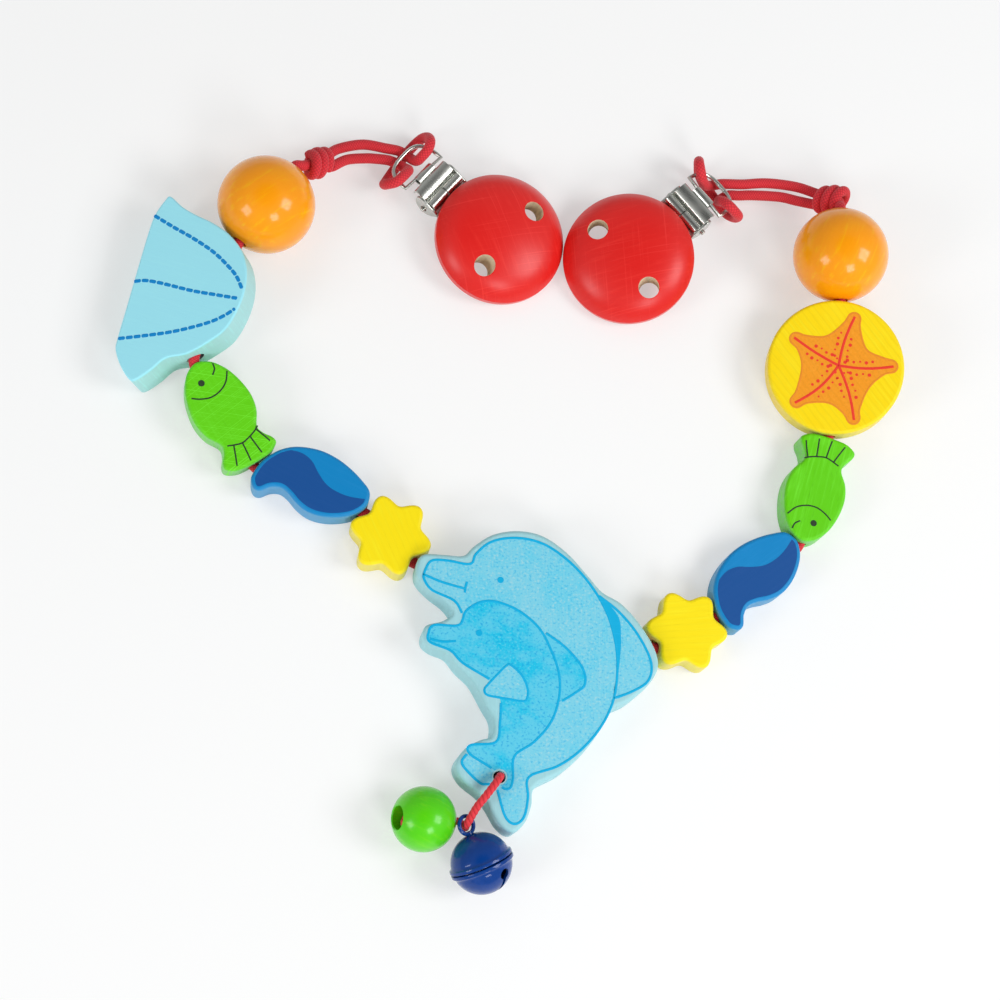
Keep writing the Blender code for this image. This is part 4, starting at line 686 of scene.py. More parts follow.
class Finish:
    """A procedural material, or the sky, while its nodes are put together."""

    def __init__(self, name, sky=None):
        self.material = sky or bpy.data.materials.new(name)
        self.material.use_nodes = True
        self.tree = self.material.node_tree
        self.shader = self.tree.nodes["Background" if sky else "Principled BSDF"]

    def put(self, socket, item):
        """Link a socket to a value or an output, or set it to a plain number or colour."""
        if isinstance(item, Value):
            self.tree.links.new(item.socket, socket)
        elif isinstance(item, bpy.types.NodeSocket):
            self.tree.links.new(item, socket)
        elif socket.type == "RGBA":
            socket.default_value = (*item, 1.0)
        else:
            socket.default_value = item

    def node(self, kind, settings=None, inputs=None):
        made = self.tree.nodes.new(kind)
        for name, setting in (settings or {}).items():
            setattr(made, name, setting)
        for name, item in (inputs or {}).items():
            self.put(made.inputs[name], item)
        return made

    def value(self, kind, output, settings=None, inputs=None):
        return Value(self, self.node(kind, settings, inputs).outputs[output])

    def set(self, **sockets):
        """Set the shader's sockets by their names, with _ for a space."""
        for name, item in sockets.items():
            self.put(self.shader.inputs[name.replace("_", " ")], item)

    def mix(self, factor, first, second):
        inputs = {0: factor, 6: first, 7: second}
        return self.node("ShaderNodeMix", {"data_type": "RGBA"}, inputs).outputs[2]

    def own_place(self, place):
        """Object coordinates turned into a bead's own frame."""
        coordinates = self.node("ShaderNodeTexCoord").outputs["Object"]
        inputs = {"Vector": coordinates, "Location": place.to_translation(),
                  "Rotation": place.to_euler()}
        return self.node("ShaderNodeMapping", {"vector_type": "TEXTURE"}, inputs).outputs[0]

    def turned(self, vector, turn):
        return self.node("ShaderNodeMapping", {"vector_type": "POINT"},
                         {"Vector": vector, "Rotation": (0, 0, turn)}).outputs[0]

    def noise(self, vector, name, turn=0.0):
        """One of the named noises, turned about z."""
        stretch, detail, roughness = NOISES[name]
        scaled = self.node("ShaderNodeMapping", {"vector_type": "POINT"},
                           {"Vector": self.turned(vector, turn), "Scale": stretch}).outputs[0]
        inputs = {"Vector": scaled, "Scale": 1.0, "Detail": detail, "Roughness": roughness}
        return self.value("ShaderNodeTexNoise", "Fac", None, inputs)

    def part(self, vector, axis):
        return self.value("ShaderNodeSeparateXYZ", axis, None, {0: vector})

    def surface(self, name, noise, height, dulling=None):
        """Roughness that swings with a noise, and relief from a height."""
        middle, swing, depth = SURFACES[name]
        roughness = middle + (noise - 0.5) * swing
        if dulling is not None:
            roughness = roughness + dulling
        inputs = {"Height": height, "Distance": depth, "Strength": 1.0}
        self.set(Roughness=roughness,
                 Normal=self.node("ShaderNodeBump", None, inputs).outputs[0])


def lighter(colour):
    """The same hue, brighter, as a thin coat of it looks, and as the cord's painted highlights."""
    return tuple(min(1.0, c * 1.25 + 0.03) for c in colour)


def deeper(colour, surface):
    return tuple(c * DEEP_SHARES[surface] for c in colour)


def painted_wood(name, place, face, side, half, streak, grain_turn=0.0, rings=0.0,
                 scratch=0.0, fleck=0.0, worn=0.0, tints=None):
    """Paint that shows the grain, paler where it thins over the edges and down the sides."""
    paint = Finish(name)
    own = paint.own_place(place)
    turn = math.radians(grain_turn)
    grain = paint.noise(own, "board grain", turn)
    pores = paint.noise(own, "board pores", turn)
    cloud = paint.noise(own, "board cloud")
    upright = paint.noise(own, "board sides")
    height = paint.part(own, "Z")
    edge = (height + (cloud - 0.5) * PAINT_EDGE_WANDER).between(half - PAINT_EDGE_LOW,
                                                                half - PAINT_EDGE_HIGH)
    colour = paint.mix(edge, side, face)
    pale, deep = lighter(face), deeper(face, "board")
    if tints:
        pale, deep = (linear(*tint) for tint in tints)
    streaks = (grain.shown("board grain") + cloud.shown("board cloud")) * streak
    colour = paint.mix(streaks, colour, pale)
    colour = paint.mix(pores.shown("board pores", streak), colour, deep)
    colour = paint.mix((1 - edge) * upright.shown("board sides"), colour, pale)
    if rings:
        across = paint.part(paint.turned(own, turn), "Y")
        growth = (across * (math.tau / RING_PITCH) + cloud * RING_WANDER).sine()
        colour = paint.mix(growth.shown("board rings", rings), colour, deep)
    if scratch:
        for lean in NICK_LEANS_DEG:
            nick = paint.noise(own, "board nicks", turn + math.radians(lean))
            colour = paint.mix(nick.shown("board nicks", scratch), colour, pale)
    if worn:
        patch = paint.noise(own, "worn print", WORN_TURN)
        colour = paint.mix(patch.shown("worn print", worn), colour, pale)
    if fleck:
        speck = paint.noise(own, "print flecks")
        colour = paint.mix(speck.shown("pale flecks", fleck), colour, pale)
        colour = paint.mix(speck.shown("deep flecks", fleck), colour, deep)
    paint.set(Base_Color=colour, Specular_IOR_Level=PAINT_GLOSS)
    paint.surface("board", grain, grain * 0.5 + pores * 0.5)
    return paint.material


def print_ink(name, place, colour):
    """Screen-printed ink, thin enough for the grain to break it a little."""
    ink = Finish(name)
    own = ink.own_place(place)
    grain = ink.noise(own, "ink grain")
    ink.set(Base_Color=ink.mix(grain.shown("ink grain"), colour, lighter(colour)),
            Specular_IOR_Level=PAINT_GLOSS)
    ink.surface("ink", grain, grain)
    return ink.material


def varnished_wood(name, place, colour, pale, haze, scratch=0.0):
    """Stained wood under a thick clear varnish, with the grain showing as paler streaks."""
    stain = Finish(name)
    own = stain.own_place(place)
    pale = linear(*pale)
    rings = stain.noise(own, "stain rings", STAIN_TURN)
    flecks = stain.noise(own, "stain flecks", STAIN_TURN)
    cloud = stain.noise(own, "stain cloud")
    tint = stain.mix(rings.shown("stain rings"), colour, pale)
    tint = stain.mix(flecks.shown("stain flecks"), tint, deeper(colour, "varnish"))
    tint = stain.mix(cloud.shown("stain cloud"), tint, pale)
    if scratch:
        for turn in STAIN_NICK_TURNS:
            nick = stain.noise(own, "stain nicks", turn)
            tint = stain.mix(nick.shown("stain nicks", scratch), tint, lighter(pale))
    stain.set(Base_Color=tint, Coat_Weight=1.0, Coat_Roughness=haze, Coat_IOR=VARNISH_IOR,
              Specular_IOR_Level=VARNISH_BASE_GLOSS)
    stain.surface("varnish", cloud, rings * 0.6 + cloud * 0.4)
    return stain.material


def bare_wood(name, place, colour):
    """Unpainted wood with growth rings and drill marks."""
    wood = Finish(name)
    own = wood.own_place(place)
    rings = wood.noise(own, "bare rings")
    marks = wood.noise(own, "drill marks")
    wood.set(Base_Color=wood.mix(rings.shown("bare rings"), colour, deeper(colour, "bare wood")))
    wood.surface("bare wood", rings, rings * 0.5 + marks * 0.5)
    return wood.material


def braid_finish(name, colours, twisted=False):
    """Cord: rounded strands that cross in a plait or run round in a twist, with fine fibres,
    painted shade in the grooves and painted highlights on the crowns.
    """
    cord = Finish(name)
    coordinates = cord.node("ShaderNodeUVMap").outputs[0]
    along, around = cord.part(coordinates, "X"), cord.part(coordinates, "Y")
    rising, falling = (along + around) * math.pi, (along - around) * math.pi
    crown = rising.sine().size() if twisted else (rising.sine() * falling.sine()).size()
    inputs = {"Vector": coordinates, "Scale": FIBRE_STRETCH, "Rotation": (0, 0, FIBRE_TURN)}
    laid = cord.node("ShaderNodeMapping", None, inputs).outputs[0]
    fibres = cord.value("ShaderNodeTexNoise", "Fac", None,
                        {"Vector": laid, "Scale": FIBRE_SCALE, "Detail": FIBRE_DETAIL})
    # Paler colour: painted highlights on the strands' crowns, and the pale fibres
    highlight_and_fibre_tint = lighter(colours.cord_red)
    # Painted shade in the grooves between the strands
    groove_shade = cord.mix(0.5, colours.cord_shade, colours.cord_red)
    colour = cord.mix(crown.shown("plait groove shade"), groove_shade, colours.cord_red)
    colour = cord.mix(crown.shown("plait crown highlight"), colour, highlight_and_fibre_tint)
    colour = cord.mix(fibres.shown("cord fibres"), colour, highlight_and_fibre_tint)
    cord.set(Base_Color=colour, Sheen_Weight=CORD_SHEEN)
    cord.surface("braid", crown, crown * 0.6 + fibres * 0.4)
    return cord.material


def nickel_finish(name, colours):
    """Stamped and tumbled nickel plate with fine scratches."""
    metal = Finish(name)
    place = metal.node("ShaderNodeTexCoord").outputs["Object"]
    wear = metal.noise(place, "nickel wear")
    hairlines = metal.noise(place, "nickel hairlines", HAIRLINE_TURN)
    base = colours.nickel
    metal.set(Base_Color=metal.mix(wear.shown("nickel wear"), base, deeper(base, "nickel")),
              Metallic=1.0)
    metal.surface("nickel", hairlines, hairlines * 0.5 + wear * 0.5, wear.shown("nickel dulling"))
    return metal.material


def enamel_finish(name, colours):
    """Thick glossy enamel on stamped sheet metal."""
    enamel = Finish(name)
    place = enamel.node("ShaderNodeTexCoord").outputs["Object"]
    cloud = enamel.noise(place, "enamel cloud")
    base = colours.bell_blue
    enamel.set(Base_Color=enamel.mix(cloud.shown("enamel cloud"), base, lighter(base)),
               Coat_Weight=1.0, Coat_Roughness=ENAMEL_HAZE, Coat_IOR=ENAMEL_IOR,
               Specular_IOR_Level=ENAMEL_BASE_GLOSS)
    enamel.surface("enamel", cloud, cloud)
    return enamel.material


def pad_finish(name, colours):
    """Moulded white plastic, faintly pebbled."""
    pad = Finish(name)
    place = pad.node("ShaderNodeTexCoord").outputs["Object"]
    pebble = pad.noise(place, "plastic pebbles")
    base = colours.pad_white
    pad.set(Base_Color=pad.mix(pebble.shown("plastic pebbles"), base, deeper(base, "plastic")))
    pad.surface("plastic", pebble, pebble)
    return pad.material


def turned(degrees, axis):
    return Matrix.Rotation(math.radians(degrees), 4, axis)


def frame_at(place, heading_deg, pitch_deg=0.0, roll_deg=0.0):
    """A frame whose x points along the heading, nose up by the pitch, rolled about x."""
    return (Matrix.Translation(place) @ turned(heading_deg, "Z")
            @ turned(-pitch_deg, "Y") @ turned(roll_deg, "X"))


def joint_place(name):
    return Vector(JOINTS[name]["pos_m"])


def bead_frame(name):
    """Where a bead lies: its middle, with x along its hole."""
    joint = {"shell_block": "shell_block_spin", "starfish_disc": "starfish_disc_spin"}
    return frame_at(joint_place(joint.get(name, f"{name}_spin")), *BEAD_TURNS_DEG[name])


def smooth_curve(points, per_span=CURVE_STEPS, closed=False):
    """Points along a Catmull-Rom curve through the given ones."""
    count = len(points)
    spans = count if closed else count - 1
    result = []
    for i in range(spans):
        if closed:
            a, b, c, d = (points[(i + k) % count] for k in (-1, 0, 1, 2))
        else:
            a, b, c, d = (points[min(max(i + k, 0), count - 1)] for k in (-1, 0, 1, 2))
        for step in range(per_span):
            t = step / per_span
            result.append(0.5 * (2 * b + (c - a) * t + (2 * a - 5 * b + 4 * c - d) * t**2
                                 + (3 * b - a - 3 * c + d) * t**3))
    if not closed:
        result.append(points[-1].copy())
    return result


def outline_from(shares, length, width, sign=1):
    points = [Vector((sign * x * length, sign * y * width, 0)) for x, y in shares]
    return smooth_curve(points, closed=True)


def stroke_from(places_mm, sign):
    return smooth_curve([Vector((sign * x * MM, sign * y * MM, 0)) for x, y in places_mm])


def clear_of(strokes, centre, radius):
    """Lines with the parts near a centre left out."""
    kept = []
    for stroke in strokes:
        run = []
        for point in stroke + [None]:
            if point is not None and (point - centre).length > radius:
                run.append(point)
                continue
            if len(run) > 1:
                kept.append(run)
            run = []
    return kept


def evenly_spaced(points, step):
    """The same route with points about one step apart."""
    fine = smooth_curve(points, ROUTE_STEPS)
    lengths = [0.0]
    for a, b in zip(fine, fine[1:]):
        lengths.append(lengths[-1] + (b - a).length)
    count = max(2, round(lengths[-1] / step))
    result, j = [], 0
    for i in range(count + 1):
        target = lengths[-1] * i / count
        while j < len(lengths) - 2 and lengths[j + 1] < target:
            j += 1
        share = (target - lengths[j]) / (lengths[j + 1] - lengths[j])
        result.append(fine[j].lerp(fine[j + 1], min(max(share, 0), 1)))
    return result


def camera_turn():
    forward = (CAMERA_TARGET - CAMERA_PLACE).normalized()
    right = forward.cross(Vector((0, 1, 0))).normalized()
    up = right.cross(forward)
    return Matrix((right, up, -forward)).transposed()


def on_face(pixel, place, height):
    """A pixel of the photograph as a point on a bead's face, in the bead's own frame."""
    half = PHOTO_SIZE / 2
    across, up = (pixel[0] - half) / FOCAL_PIXELS, (half - pixel[1]) / FOCAL_PIXELS
    ray = camera_turn() @ Vector((across, up, -1))
    normal = place.to_3x3() @ UP
    reach = (place @ Vector((0, 0, height)) - CAMERA_PLACE).dot(normal) / ray.dot(normal)
    local = place.inverted() @ (CAMERA_PLACE + ray * reach)
    return Vector((local.x, local.y, 0))


def pick(item):
    """Make an object the only one selected, and the active one."""
    if bpy.context.mode != "OBJECT":
        bpy.ops.object.mode_set(mode="OBJECT")
    bpy.ops.object.select_all(action="DESELECT")
    item.select_set(True)
    bpy.context.view_layer.objects.active = item
    return item


def edit(item):
    pick(item)
    bpy.ops.object.mode_set(mode="EDIT")
    bpy.ops.mesh.select_all(action="SELECT")


def leave_edit():
    bpy.ops.object.mode_set(mode="OBJECT")


def apply_modifier(item, kind, **settings):
    pick(item)
    change = item.modifiers.new(kind.title(), kind)
    for name, setting in settings.items():
        setattr(change, name, setting)
    bpy.ops.object.modifier_apply(modifier=change.name)


def outline_object(name, lines, closed):
    """A curve object that holds one straight-stepped line for each list of points."""
    curve = bpy.data.curves.new(name, "CURVE")
    curve.dimensions = "3D"
    for points in lines:
        spline = curve.splines.new("POLY")
        spline.points.add(len(points) - 1)
        for node, place in zip(spline.points, points):
            node.co = (*place, 1.0)
        spline.use_cyclic_u = closed
    item = bpy.data.objects.new(name, curve)
    bpy.context.collection.objects.link(item)
    return pick(item)


def flat_piece(name, outline, low, high):
    """A flat closed shape of an outline, from one height up to another."""
    item = outline_object(name, [[Vector((p.x, p.y, low)) for p in outline]], True)
    bpy.ops.object.convert(target="MESH")
    edit(item)
    bpy.ops.mesh.edge_face_add()
    bpy.ops.mesh.extrude_region_move(TRANSFORM_OT_translate={"value": (0, 0, high - low)})
    bpy.ops.mesh.select_all(action="SELECT")
    bpy.ops.mesh.normals_make_consistent(inside=False)
    leave_edit()
    return item


def lathe_piece(name, profile, steps, axis="Z", closed=False):
    """A profile of (radius, height) pairs spun round an axis."""
    upright = axis == "Z"
    points = [Vector((r, 0, h)) if upright else Vector((h, 0, r)) for r, h in profile]
    item = outline_object(name, [points], closed)
    bpy.ops.object.convert(target="MESH")
    edit(item)
    bpy.ops.mesh.spin(steps=steps, angle=math.tau, center=(0, 0, 0),
                      axis=(0, 0, 1) if upright else (1, 0, 0))
    bpy.ops.mesh.select_all(action="SELECT")
    bpy.ops.mesh.remove_doubles(threshold=MERGE_DISTANCE)
    bpy.ops.mesh.normals_make_consistent(inside=False)
    leave_edit()
    return item


def rod_piece(name, start, end, radius):
    """A round rod between two points."""
    start, end = Vector(start), Vector(end)
    along = end - start
    pick_none()
    bpy.ops.mesh.primitive_cylinder_add(vertices=ROD_SIDES, radius=radius, depth=along.length,
                                        location=(start + end) / 2,
                                        rotation=along.to_track_quat("Z", "Y").to_euler())
    item = bpy.context.object
    item.name = name
    bpy.ops.object.transform_apply(location=True, rotation=True, scale=True)
    return item


def pick_none():
    if bpy.context.mode != "OBJECT":
        bpy.ops.object.mode_set(mode="OBJECT")
    bpy.ops.object.select_all(action="DESELECT")


def combine(item, tool, operation):
    """Cut a shape out of a piece, or join it on, and put the tool away."""
    mode = "TRANSFER" if tool.data.materials else "INDEX"
    apply_modifier(item, "BOOLEAN", operation=operation, solver="EXACT", object=tool,
                   material_mode=mode)
    bpy.data.objects.remove(tool, do_unlink=True)


def drill(item, start, end, diameter, lining=None, overrun=DRILL_OVERRUN):
    start, end = Vector(start), Vector(end)
    past = (end - start).normalized() * overrun
    bit = rod_piece("drill", start - past, end + past, diameter / 2)
    if lining:
        bit.data.materials.append(lining)
    combine(item, bit, "DIFFERENCE")


def round_edges(item, width, steps=BEVEL_STEPS):
    apply_modifier(item, "BEVEL", width=width, segments=steps, limit_method="ANGLE",
                   angle_limit=math.radians(BEVEL_ANGLE_DEG), use_clamp_overlap=True)


def place_piece(item, place):
    """Lay a piece in its place in the toy, with the place in its mesh."""
    pick(item)
    item.matrix_world = place
    bpy.ops.object.transform_apply(location=True, rotation=True, scale=True)
    return item


def smooth_piece(item, angle_deg=SMOOTH_ANGLE_DEG, weighted=True):
    pick(item)
    bpy.ops.object.shade_smooth_by_angle(angle=math.radians(angle_deg))
    if weighted:
        apply_modifier(item, "WEIGHTED_NORMAL", keep_sharp=True)


def dress(item, material, body, slot=None, *nodes):
    """Give a piece its finish, the body that it moves with and the nodes that it replaces."""
    if not item.data.materials:
        item.data.materials.append(material)
    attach(item, body)
    if nodes:
        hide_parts(*nodes)
    return item


def finish_piece(item, place, material, body, slot, node, angle_deg=SMOOTH_ANGLE_DEG,
                 weighted=True):
    """Lay a piece in its place, smooth it and dress it."""
    place_piece(item, place)
    smooth_piece(item, angle_deg, weighted)
    return dress(item, material, body, slot, node)


def cut_bead(name, outline, thickness, back, front, sizes, material, round_width=None):
    """A bead sawn from a board, rounded over and drilled along x."""
    half = thickness / 2
    item = flat_piece(name, outline, -half, half)
    item.data.materials.append(material)
    round_edges(item, round_width or sizes.edge_round)
    if front:
        drill(item, (-back, 0, 0), (front, 0, 0), HOLE_DIAMETER)
    return item


def film(name, outline, height, level, sizes):
    """A printed area, sunk in the wood and standing a hair above it, one level on another."""
    top = height + sizes.film_height * PRINT_LEVELS[level]
    return flat_piece(name, outline, height - FILM_DEPTH, top)


def inked_lines(name, strokes, width, height, level, sizes, taper=False):
    """Printed lines, each a flattened bead of ink."""
    item = outline_object(name, strokes, False)
    item.data.bevel_depth = width / 2
    item.data.bevel_resolution = 1
    item.data.use_fill_caps = True
    if taper:
        for spline in item.data.splines:
            for end in (0, -1):
                spline.points[end].radius = STITCH_END_SHARE
    bpy.ops.object.convert(target="MESH")
    rise = height + sizes.film_height * PRINT_LEVELS[level]
    place_piece(item, Matrix.Translation((0, 0, rise)) @ Matrix.Diagonal((1, 1, INK_FLATNESS, 1)))
    smooth_piece(item, WIRE_ANGLE_DEG, weighted=False)
    return item


def dot_outline(centre, radius, sides=DOT_SIDES):
    return [Vector((centre[0] + radius * math.cos(math.tau * i / sides),
                    centre[1] + radius * math.sin(math.tau * i / sides), 0)) for i in range(sides)]


def merge(first, *others):
    """Join pieces into the first one."""
    pick(first)
    for other in others:
        other.select_set(True)
    bpy.ops.object.join()
    return first


def lay_print(item, place, material, body):
    place_piece(item, place)
    return dress(item, material, body)


def settings():
    scene = bpy.context.scene
    return scene.pram_chain_colours, scene.pram_chain_sizes


def dolphin_point(shares, height=0.0):
    return Vector((shares[0] * DOLPHIN_WIDTH, shares[1] * DOLPHIN_HEIGHT, height))


def cord_frames(points):
    """Frames along a route that don't twist."""
    result = []
    across = None
    for i, place in enumerate(points):
        ahead = points[min(i + 1, len(points) - 1)] - points[max(i - 1, 0)]
        ahead.normalize()
        if across is None:
            across = ahead.orthogonal().normalized()
        across = (across - ahead * across.dot(ahead)).normalized()
        result.append((place, across, ahead.cross(across)))
    return result


def braided_tube(name, route, diameter, sizes, finish, coarse=False):
    """A cord as a tube whose surface follows the plaits, with its texture laid along it."""
    points = evenly_spaced(route, CORD_RING_STEP)
    strands = sizes.pendant_strands if coarse else sizes.braid_strands
    pitch = sizes.pendant_pitch if coarse else sizes.braid_pitch
    depth = sizes.braid_depth * (COARSE_DEPTH_FACTOR if coarse else 1.0)
    verts, faces, places = [], [], []
    travelled = 0.0
    rows = cord_frames(points)
    for i, (place, across, beside) in enumerate(rows):
        if i:
            travelled += (points[i] - points[i - 1]).length
        along = travelled / pitch
        tuck = min(1.0, (min(i, len(rows) - 1 - i) + 1) / CORD_TIP_RINGS)
        taper = CORD_TIP_SHARE + (1 - CORD_TIP_SHARE) * tuck
        for j in range(CORD_SIDES):
            angle = math.tau * j / CORD_SIDES
            around = strands * j / CORD_SIDES / 2
            crown = abs(math.sin(math.pi * (along + around)))
            if not coarse:
                crown *= abs(math.sin(math.pi * (along - around)))
            radius = (diameter / 2 - depth * (1 - crown)) * taper
            verts.append(place + (across * math.cos(angle) + beside * math.sin(angle)) * radius)
        places.append(along)
    uvs = []
    for i in range(len(rows) - 1):
        for j in range(CORD_SIDES):
            k = (j + 1) % CORD_SIDES
            base, ahead = i * CORD_SIDES, (i + 1) * CORD_SIDES
            faces.append((base + j, base + k, ahead + k, ahead + j))
            left, right = strands * j / CORD_SIDES / 2, strands * (j + 1) / CORD_SIDES / 2
            uvs += [(places[i], left), (places[i], right), (places[i + 1], right),
                    (places[i + 1], left)]
    last = (len(rows) - 1) * CORD_SIDES
    faces.append(tuple(reversed(range(CORD_SIDES))))
    faces.append(tuple(last + j for j in range(CORD_SIDES)))
    uvs += [(0.0, 0.0)] * (2 * CORD_SIDES)
    mesh = bpy.data.meshes.new(name)
    mesh.from_pydata(verts, [], faces)
    layer = mesh.uv_layers.new(name="UVMap")
    for loop, uv in zip(layer.data, uvs):
        loop.uv = uv
    item = bpy.data.objects.new(name, mesh)
    bpy.context.collection.objects.link(item)
    item.data.materials.append(finish)
    edit(item)
    bpy.ops.mesh.normals_make_consistent(inside=False)
    leave_edit()
    smooth_piece(item, CORD_ANGLE_DEG, weighted=False)
    return item


def clip_frame(side):
    """The clip's own frame, from the eye that its ring turns in."""
    heading, tilt = CLIP_TURNS_DEG[side]
    eye = Vector((EYE_REACH, 0, -TOUCH_GAP - PLATE_THICKNESS / 2))
    return frame_at(joint_place(f"{side}_clip_swing"), heading, tilt) @ Matrix.Translation(-eye)


def ring_frame(side):
    eye = joint_place(f"{side}_clip_swing")
    return frame_at((eye.x, eye.y, 0), CLIP_TURNS_DEG[side][0])


def ring_route(side):
    """Middle line of the wire ring: a bar in the eye and a bow that slopes up to the cord."""
    eye_height = joint_place(f"{side}_clip_swing").z
    slope = (RING_FAR_HEIGHT - eye_height) / RING_LENGTH
    half = RING_WIDTH / 2 - RING_WIRE_DIAMETER / 2
    points = []
    for i in range(RING_STEPS + 1):
        angle = math.pi * i / RING_STEPS
        share = abs(math.cos(angle)) ** RING_SQUARENESS
        across = half * math.copysign(share, math.cos(angle))
        along = RING_LENGTH * math.sin(angle) ** RING_SQUARENESS
        points.append(ring_frame(side) @ Vector((along, -across, eye_height + slope * along)))
    return points


def knot_frame(side):
    offset, heading, pitch = KNOT_PLACES[side]
    mouth = frame_at(joint_place(f"{side}_loop_bend"), BEAD_TURNS_DEG[f"{side}_ball"][0])
    return frame_at(mouth @ Vector(offset), heading, pitch)


def loop_route(side):
    """The loop from its knot, round the ring and back beside itself."""
    knot_end = knot_frame(side) @ Matrix.Translation((KNOT_LENGTH, 0, 0))
    ring = ring_frame(side)
    hitch = [ring @ Vector(p) for p in LOOP_ROUTES[side]]
    across = knot_end.to_3x3() @ Vector((0, STRAND_SPREAD / 2, 0))
    if (hitch[0] - hitch[-1]).dot(across) < 0:
        across.negate()
    start = knot_end @ Vector((TOUCH_GAP, 0, 0))
    ahead = knot_end @ Vector((STRING_DIAMETER / 2, 0, 0))
    return [start + across, ahead + across] + hitch + [ahead - across, start - across]


def bell_frame():
    rim = BELL_DIAMETER / 2 + BELL_FLANGE
    lip = TOUCH_GAP / 2 + BELL_FLANGE_THICKNESS
    pitch = math.radians(BELL_PITCH_DEG)
    height = rim * math.cos(pitch) + lip * math.sin(pitch)
    place = dolphin_point(TAIL_SIDE_SHARES) + Vector((*BELL_OFFSET, height))
    lying = frame_at(place, BELL_HEADING_DEG, BELL_PITCH_DEG)
    return lying @ turned(90, "Y") @ turned(BELL_TURN_DEG, "Z")


def bell_eye_height():
    return BELL_DIAMETER / 2 + TOUCH_GAP + BELL_EYE_DIAMETER / 2 - BELL_EYE_WIRE / 2


def green_ball_frame():
    return frame_at(joint_place("green_ball_spin"), *GREEN_BALL_TURN_DEG)


def pendant_route():
    """The pendant's cord from the dolphin's hole, through the bell's eye, into the ball."""
    start = dolphin_point(PENDANT_HOLE_SHARES, DOLPHIN_THICKNESS + 2 * TOUCH_GAP)
    eye = bell_frame() @ Vector((0, 0, bell_eye_height()))
    radius = GREEN_BALL_DIAMETER / 2
    floor = radius - GREEN_BALL_MOUTH_DEPTH
    route = [start, start + UP * PENDANT_CORD_DIAMETER / 2]
    route += [Vector(p) for p in PENDANT_RISE_ROUTE] + [eye, eye - UP * PENDANT_EYE_DROP]
    bore_places = (-radius - PENDANT_MOUTH_LEAD, -radius, 0, floor - TOUCH_GAP)
    return route + [green_ball_frame() @ Vector((x, 0, 0)) for x in bore_places]


def wrapped_knot(name, place, radius, length, wraps, cord, sizes, finish, coarse=False):
    """A knot: a cord wound slantwise round itself about the frame's x axis."""
    lap = radius - cord / 2
    points = []
    steps = round(KNOT_WRAP_STEPS * wraps)
    for i in range(steps + 1):
        share = i / steps
        angle = math.tau * wraps * share
        along = cord / 2 + (length - cord) * share
        swell = lap * (KNOT_END_SHARE + (1 - KNOT_END_SHARE) * math.sin(math.pi * share))
        slant = KNOT_SLANT_SHARE * cord * math.cos(angle)
        points.append(place @ Vector((along + slant, swell * math.cos(angle),
                                      swell * math.sin(angle))))
    return braided_tube(name, points, cord, sizes, finish, coarse)


class PRAMCHAIN_OT_stage(bpy.types.Operator):
    """Set up the floor, the soft lights and the photograph's camera"""

    bl_idname = "pramchain.stage"
    bl_label = "Stage"

    def execute(self, context):
        colours, sizes = settings()
        scene = context.scene
        camera_data = bpy.data.cameras.new("photograph")
        camera_data.lens = FOCAL_PIXELS / PHOTO_SIZE * SENSOR_WIDTH
        camera_data.sensor_width = SENSOR_WIDTH
        camera_data.clip_start = CLIP_START
        camera = bpy.data.objects.new("photograph", camera_data)
        camera.matrix_world = Matrix.Translation(CAMERA_PLACE) @ camera_turn().to_4x4()
        scene.collection.objects.link(camera)
        scene.camera = camera
        scene.view_settings.view_transform = "Standard"

        pick_none()
        bpy.ops.mesh.primitive_plane_add(size=FLOOR_SIZE, location=(0, 0, 0))
        floor = bpy.context.object
        floor.name = "floor"
        floor.data.materials.append(floor_finish(colours))

        for name, (direction, size, power) in SOFTBOXES.items():
            softbox(name, direction, size, getattr(sizes, power))
        world = scene.world or bpy.data.worlds.new("studio")
        scene.world = world
        sky = Finish("sky", world)
        height = sky.part(sky.node("ShaderNodeTexCoord").outputs["Generated"], "Z")
        patch = height.between(*PATCH_EDGE_HEIGHTS)
        sky.set(Color=(1.0, 1.0, 1.0),
                Strength=sizes.sky_strength * (1 - patch * PATCH_DIM_SHARE))
        return {"FINISHED"}


def floor_finish(colours):
    """Matt floor that looks nearly white to the camera and still shows soft shadows."""
    ground = Finish("pale floor")
    ground.set(Base_Color=colours.floor, Roughness=0.9, Specular_IOR_Level=0.1)
    rays = ground.node("ShaderNodeLightPath").outputs
    seen = sum((Value(ground, rays[f"Is {ray} Ray"]) for ray in ("Camera", "Glossy")), 0)
    white = ground.node("ShaderNodeEmission", None, {"Color": (1.0, 1.0, 1.0), "Strength": 1.0})
    looks = ground.node("ShaderNodeMixShader", None, {0: seen * FLOOR_GLOW_SHARE,
                                                      1: ground.shader.outputs[0],
                                                      2: white.outputs[0]})
    ground.put(ground.tree.nodes["Material Output"].inputs["Surface"], looks.outputs[0])
    return ground.material


def softbox(name, direction, size, power):
    lamp = bpy.data.lights.new(name, "AREA")
    lamp.shape = "SQUARE"
    lamp.size = size
    lamp.energy = power
    item = bpy.data.objects.new(name, lamp)
    away = Vector(direction).normalized() * LAMP_DISTANCE
    aim = (-away).to_track_quat("-Z", "Y")
    item.matrix_world = Matrix.Translation(TOY_MIDDLE + away) @ aim.to_matrix().to_4x4()
    bpy.context.scene.collection.objects.link(item)


